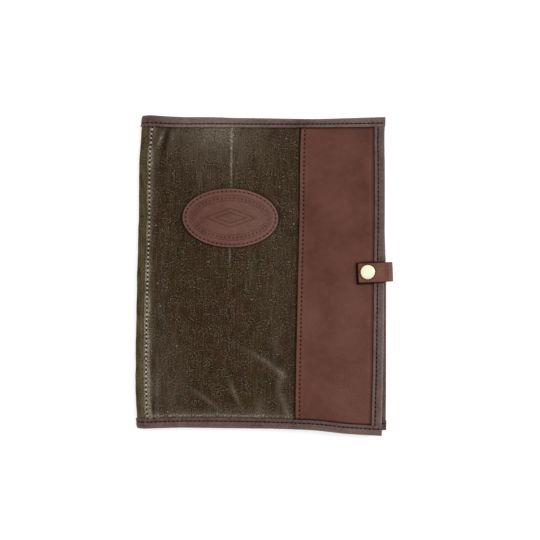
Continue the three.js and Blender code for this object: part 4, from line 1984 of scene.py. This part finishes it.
@dataclass
class BindingTape(CutPiece):
    """Thin leather tape folded round a raw edge and sewn through with dark thread.

    Its ways run along the edge, and across the rows of its section: 0 to 2 cross the outer lip, 2 to 3 the
    fold and 3 to 5 the inner lip.
    """

    snap: SnapFastening
    border: Edge
    fixed: float = 5.0  # the first stretch in from a lip's end, which keeps its width where the lip narrows
    clear: float = 0.05
    over_hem: tuple[Ramp, Ramp] = (Ramp(-3, 3, HEM_RISE), Ramp(14, 8))  # the climb over the turned edge
    table: Ramp = Ramp(-0.6, -0.85)  # where the head and tail turn onto the table, by the spine's arc
    table_press: float = 0.3
    fold_pattern: float = 1.6  # length of half the fold on the pattern, by its reach
    step: float = PITCH / 4
    fold_steps: int = 10
    lip_rows: tuple[float, ...] = (
        0, 0.03, 0.08, 0.16, 0.32, 0.46, 0.54, 0.61, 0.68, 0.75, 0.82, 0.92, 1, 1.35, 1.7,
    )
    seam = TAPE_SEAM
    edge = 0.55
    folds = (
        (on("inset", Band(1.8, 0.9, 0.16), Band(6.0, 1.3, 0.22)),),
        (on("inset", Ramp(0.5, 3)), on("along", Wave(27, 0, 0.1, 0.6), Wave(11.3, 0, 0.07, 0))),
    )

    def __post_init__(self) -> None:
        """Work out which way the tape runs, and how far."""
        form = self.form
        self.crosswise = self.border in (Edge.HEAD, Edge.TAIL)
        past = form.fold + form.gap
        whole = (form.back_end - past, form.front_reach + past)
        self.start, self.end = whole if self.crosswise else (0, form.raw_height)

    def marks(self) -> tuple[Terms, Terms]:
        """Give the tables of the edge's own handling."""
        return self.border.value.rubs_and_highlights, self.border.value.dirt_and_shade

    def lip(self, along: Array) -> Array:
        """Give how far the tape's lips reach in from the raw edge.

        Args:
            along: stations along the edge.

        Returns:
            The reach.
        """
        if self.border is Edge.HEAD:
            return HEAD_LIP.at(along / self.form.front_reach)
        return np.full_like(along, self.form.tail_lip if self.border is Edge.TAIL else self.form.fore_lip)

    def faces(self, along: Array) -> tuple[Array, Array]:
        """Give the levels of the tape's faces.

        Args:
            along: stations along the edge.

        Returns:
            The outer and the inner level.
        """
        form = self.form
        if self.crosswise:
            outer, inner = form.end_pile(along)
            outer = outer + self.over_hem[0].at(along) * self.over_hem[1].at(along)
        else:
            levels = (form.panel_top, form.gap) if self.border is Edge.FORE_FRONT else (0.0, -form.canvas)
            outer, inner = (np.full_like(along, level) for level in levels)
        return outer + form.layer, inner - form.layer

    def at(self, along: Array, past: Array, out: Array) -> Array:
        """Place points of the tape.

        Args:
            along: stations along the edge.
            past: distances past the raw edge.
            out: distances outside the back canvas.

        Returns:
            The points, n by 3, in millimetres.
        """
        girth, up = {
            Edge.HEAD: (along, self.form.raw_height + past),
            Edge.TAIL: (along, -past),
            Edge.FORE_FRONT: (self.form.front_reach + past, along),
            Edge.FORE_BACK: (self.form.back_end - past, along),
        }[self.border]
        return self.form.at(girth, up, out)

    def ways(self, along: Array, row: Array) -> Ways:
        """Give the places on each way.

        Args:
            along: stations along the edge.
            row: rows of the tape's section.

        Returns:
            The places, by the way's name.
        """
        lip, across = self.lip(along), np.where(row > 2.5, 5 - row, row)
        wide = self.fixed + (lip - self.fixed) * np.clip(across - 1, 0, 1)
        inset = np.where(across < 1, self.fixed * across, wide)
        plan = self.form.plan(self.form.front_reach + inset - lip, along)
        return {
            "along": (along,),
            "row": (row,),
            "inset": (inset,),
            "sewn": (along - self.start,),
            "outside_tab": (self.snap.outside(*plan),),
        }

    def resting(self, along: Array) -> Array:
        """Find where the tape lies on the table, which presses it and its stitches flat.

        Args:
            along: stations along the edge.

        Returns:
            1 where it lies on the table, and 0 where it is free.
        """
        if self.crosswise:
            return self.table.at(along / self.form.spine_arc)
        return np.full_like(along, self.border is Edge.FORE_BACK)

    def place(self, along: Array, row: Array) -> Array:
        """Place the tape's outside.

        Args:
            along: stations along the edge.
            row: rows of the tape's section.

        Returns:
            The points, n by 3, in millimetres.
        """
        relief = self.relief(along, row)
        outer, inner = self.faces(along)
        outer, inner = outer + relief - np.clip(relief, 0, None) * self.resting(along), inner - relief
        turn = np.clip(row - 2, 0, 1) * math.pi
        level = (outer + inner) / 2 + (outer - inner) / 2 * np.cos(turn)
        on_lip = self.ways(along, row)["inset"][0] - self.lip(along)
        past = np.where((row > 2) & (row < 3), self.form.fold * np.sin(turn), on_lip)
        return self.at(along, past, level)

    def pattern(self, along: Array, row: Array) -> tuple[Array, Array]:
        """Give the pattern: in from the lip's end and round the fold, and along the seam."""
        bend = self.form.fold * self.fold_pattern * (1 - np.abs(np.clip(row - 2, 0, 1) * 2 - 1))
        return self.ways(along, row)["inset"][0] + bend, along - self.start

    def on_seam(self, inner: bool, along: Array, lift: float) -> Array:
        """Place points on the seam of one lip.

        Args:
            inner: whether it is the inner lip.
            along: distances along it.
            lift: the distance off the piece.

        Returns:
            The points, n by 3, in millimetres.
        """
        there, over = along + self.start, lift - self.seam.sink
        faces = self.faces(there)
        level = faces[1] - over if inner else faces[0] + over - self.table_press * self.resting(there)
        return self.at(there, self.seam.inset - self.lip(there), level)

    def build(self, sewing: Sewing) -> None:
        """Build the tape, with its face outwards, and its seam.

        Args:
            sewing: makes the stitches.
        """
        folds = tuple(2 + step / self.fold_steps for step in range(self.fold_steps + 1))
        rows = np.array(self.lip_rows + folds + tuple(5 - row for row in reversed(self.lip_rows)))
        columns = run(self.start, (self.end, self.step))
        columns = columns[::-1] if self.border in (Edge.TAIL, Edge.FORE_FRONT) else columns
        name, wall = self.border.value.name, self.form.layer - self.clear
        self.cut(f"tape_{name}", columns, rows, wall, Hide.TAPE.value, f"binding_{name}")
        lips = (partial(self.on_seam, inner) for inner in (False, True))
        sewing.sew(f"stitches_tape_{name}", self.seam, self.end - self.start, *lips)


# The studio


@dataclass(frozen=True)
class Softbox:
    """A square soft light that faces the folio, in metres and watts."""

    name: str
    place: tuple[float, float, float]
    size: float
    power: float

    def build(self) -> None:
        """Hang the light."""
        deselect()
        bpy.ops.object.light_add(type="AREA", location=self.place)
        lamp = bpy.context.object
        lamp.name = self.name
        lamp.data.size = self.size
        lamp.data.energy = self.power
        x, y, z = self.place
        lamp.rotation_euler = (math.atan2(math.hypot(x, y), z), 0, math.atan2(x, -y))


@dataclass
class Studio:
    """A white board under soft overhead light, and a camera that looks straight down."""

    aim: tuple[float, float] = (5.8, 5.43)
    level: float = 17.0
    distance: float = 1400.0
    frame_width: float = 540.0  # what the picture's width shows at the level
    sensor: float = 36.0
    sky: float = 0.42
    board: float = 30000.0
    board_drop: float = 0.2
    lights: tuple[Softbox, ...] = (
        Softbox("overhead_softbox", (0.1, 0.25, 2.1), 2.6, 22.0),
        Softbox("side_softbox", (1.5, 0.5, 1.7), 0.8, 15.0),
    )

    def build(self) -> None:
        """Lay the board, hang the lights and set the camera."""
        deselect()
        bpy.ops.mesh.primitive_plane_add(size=self.board * MM, location=(0, 0, 0))
        board = bpy.context.object
        board.name = "white_board"
        board.data.materials.append(BOARD.material())
        move_corners(board, corners_of(board) - np.array([0, 0, self.board_drop * MM]))

        for light in self.lights:
            light.build()
        scene = bpy.context.scene
        scene.world = scene.world or bpy.data.worlds.new("tent")
        scene.world.use_nodes = True
        sky = {"Color": linear("#ffffff"), "Strength": self.sky}
        set_inputs(scene.world.node_tree, scene.world.node_tree.nodes["Background"], sky)
        scene.view_settings.view_transform = "Standard"

        x, y = self.aim
        bpy.ops.object.camera_add(location=(x * MM, y * MM, (self.level + self.distance) * MM))
        camera = bpy.context.object
        camera.data.sensor_width = self.sensor
        camera.data.lens = self.sensor * self.distance / self.frame_width
        scene.camera = camera


def cover_form() -> CoverForm:
    """Lay the cover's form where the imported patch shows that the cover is.

    Returns:
        The form.
    """
    low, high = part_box("oval_patch")
    places = (OvalPatch.x, OvalPatch.y)
    return CoverForm(tuple((low[i] + high[i]) / 2 / MM - place for i, place in enumerate(places)))


def main() -> None:
    """Build the padfolio's pieces and the studio."""
    logging.basicConfig(level=logging.INFO, format="%(message)s")
    form = cover_form()
    sewing = Sewing()
    patch = OvalPatch(form)
    snap = SnapFastening(form)
    SpineBackCanvas(form).build()
    FrontCanvas(form, patch).build(sewing)
    LeatherPanel(form, snap).build(sewing)
    patch.build(sewing)
    for edge in Edge:
        BindingTape(form, snap, edge).build(sewing)
    snap.build(sewing)
    Studio().build()


if __name__ == "__main__":
    main()
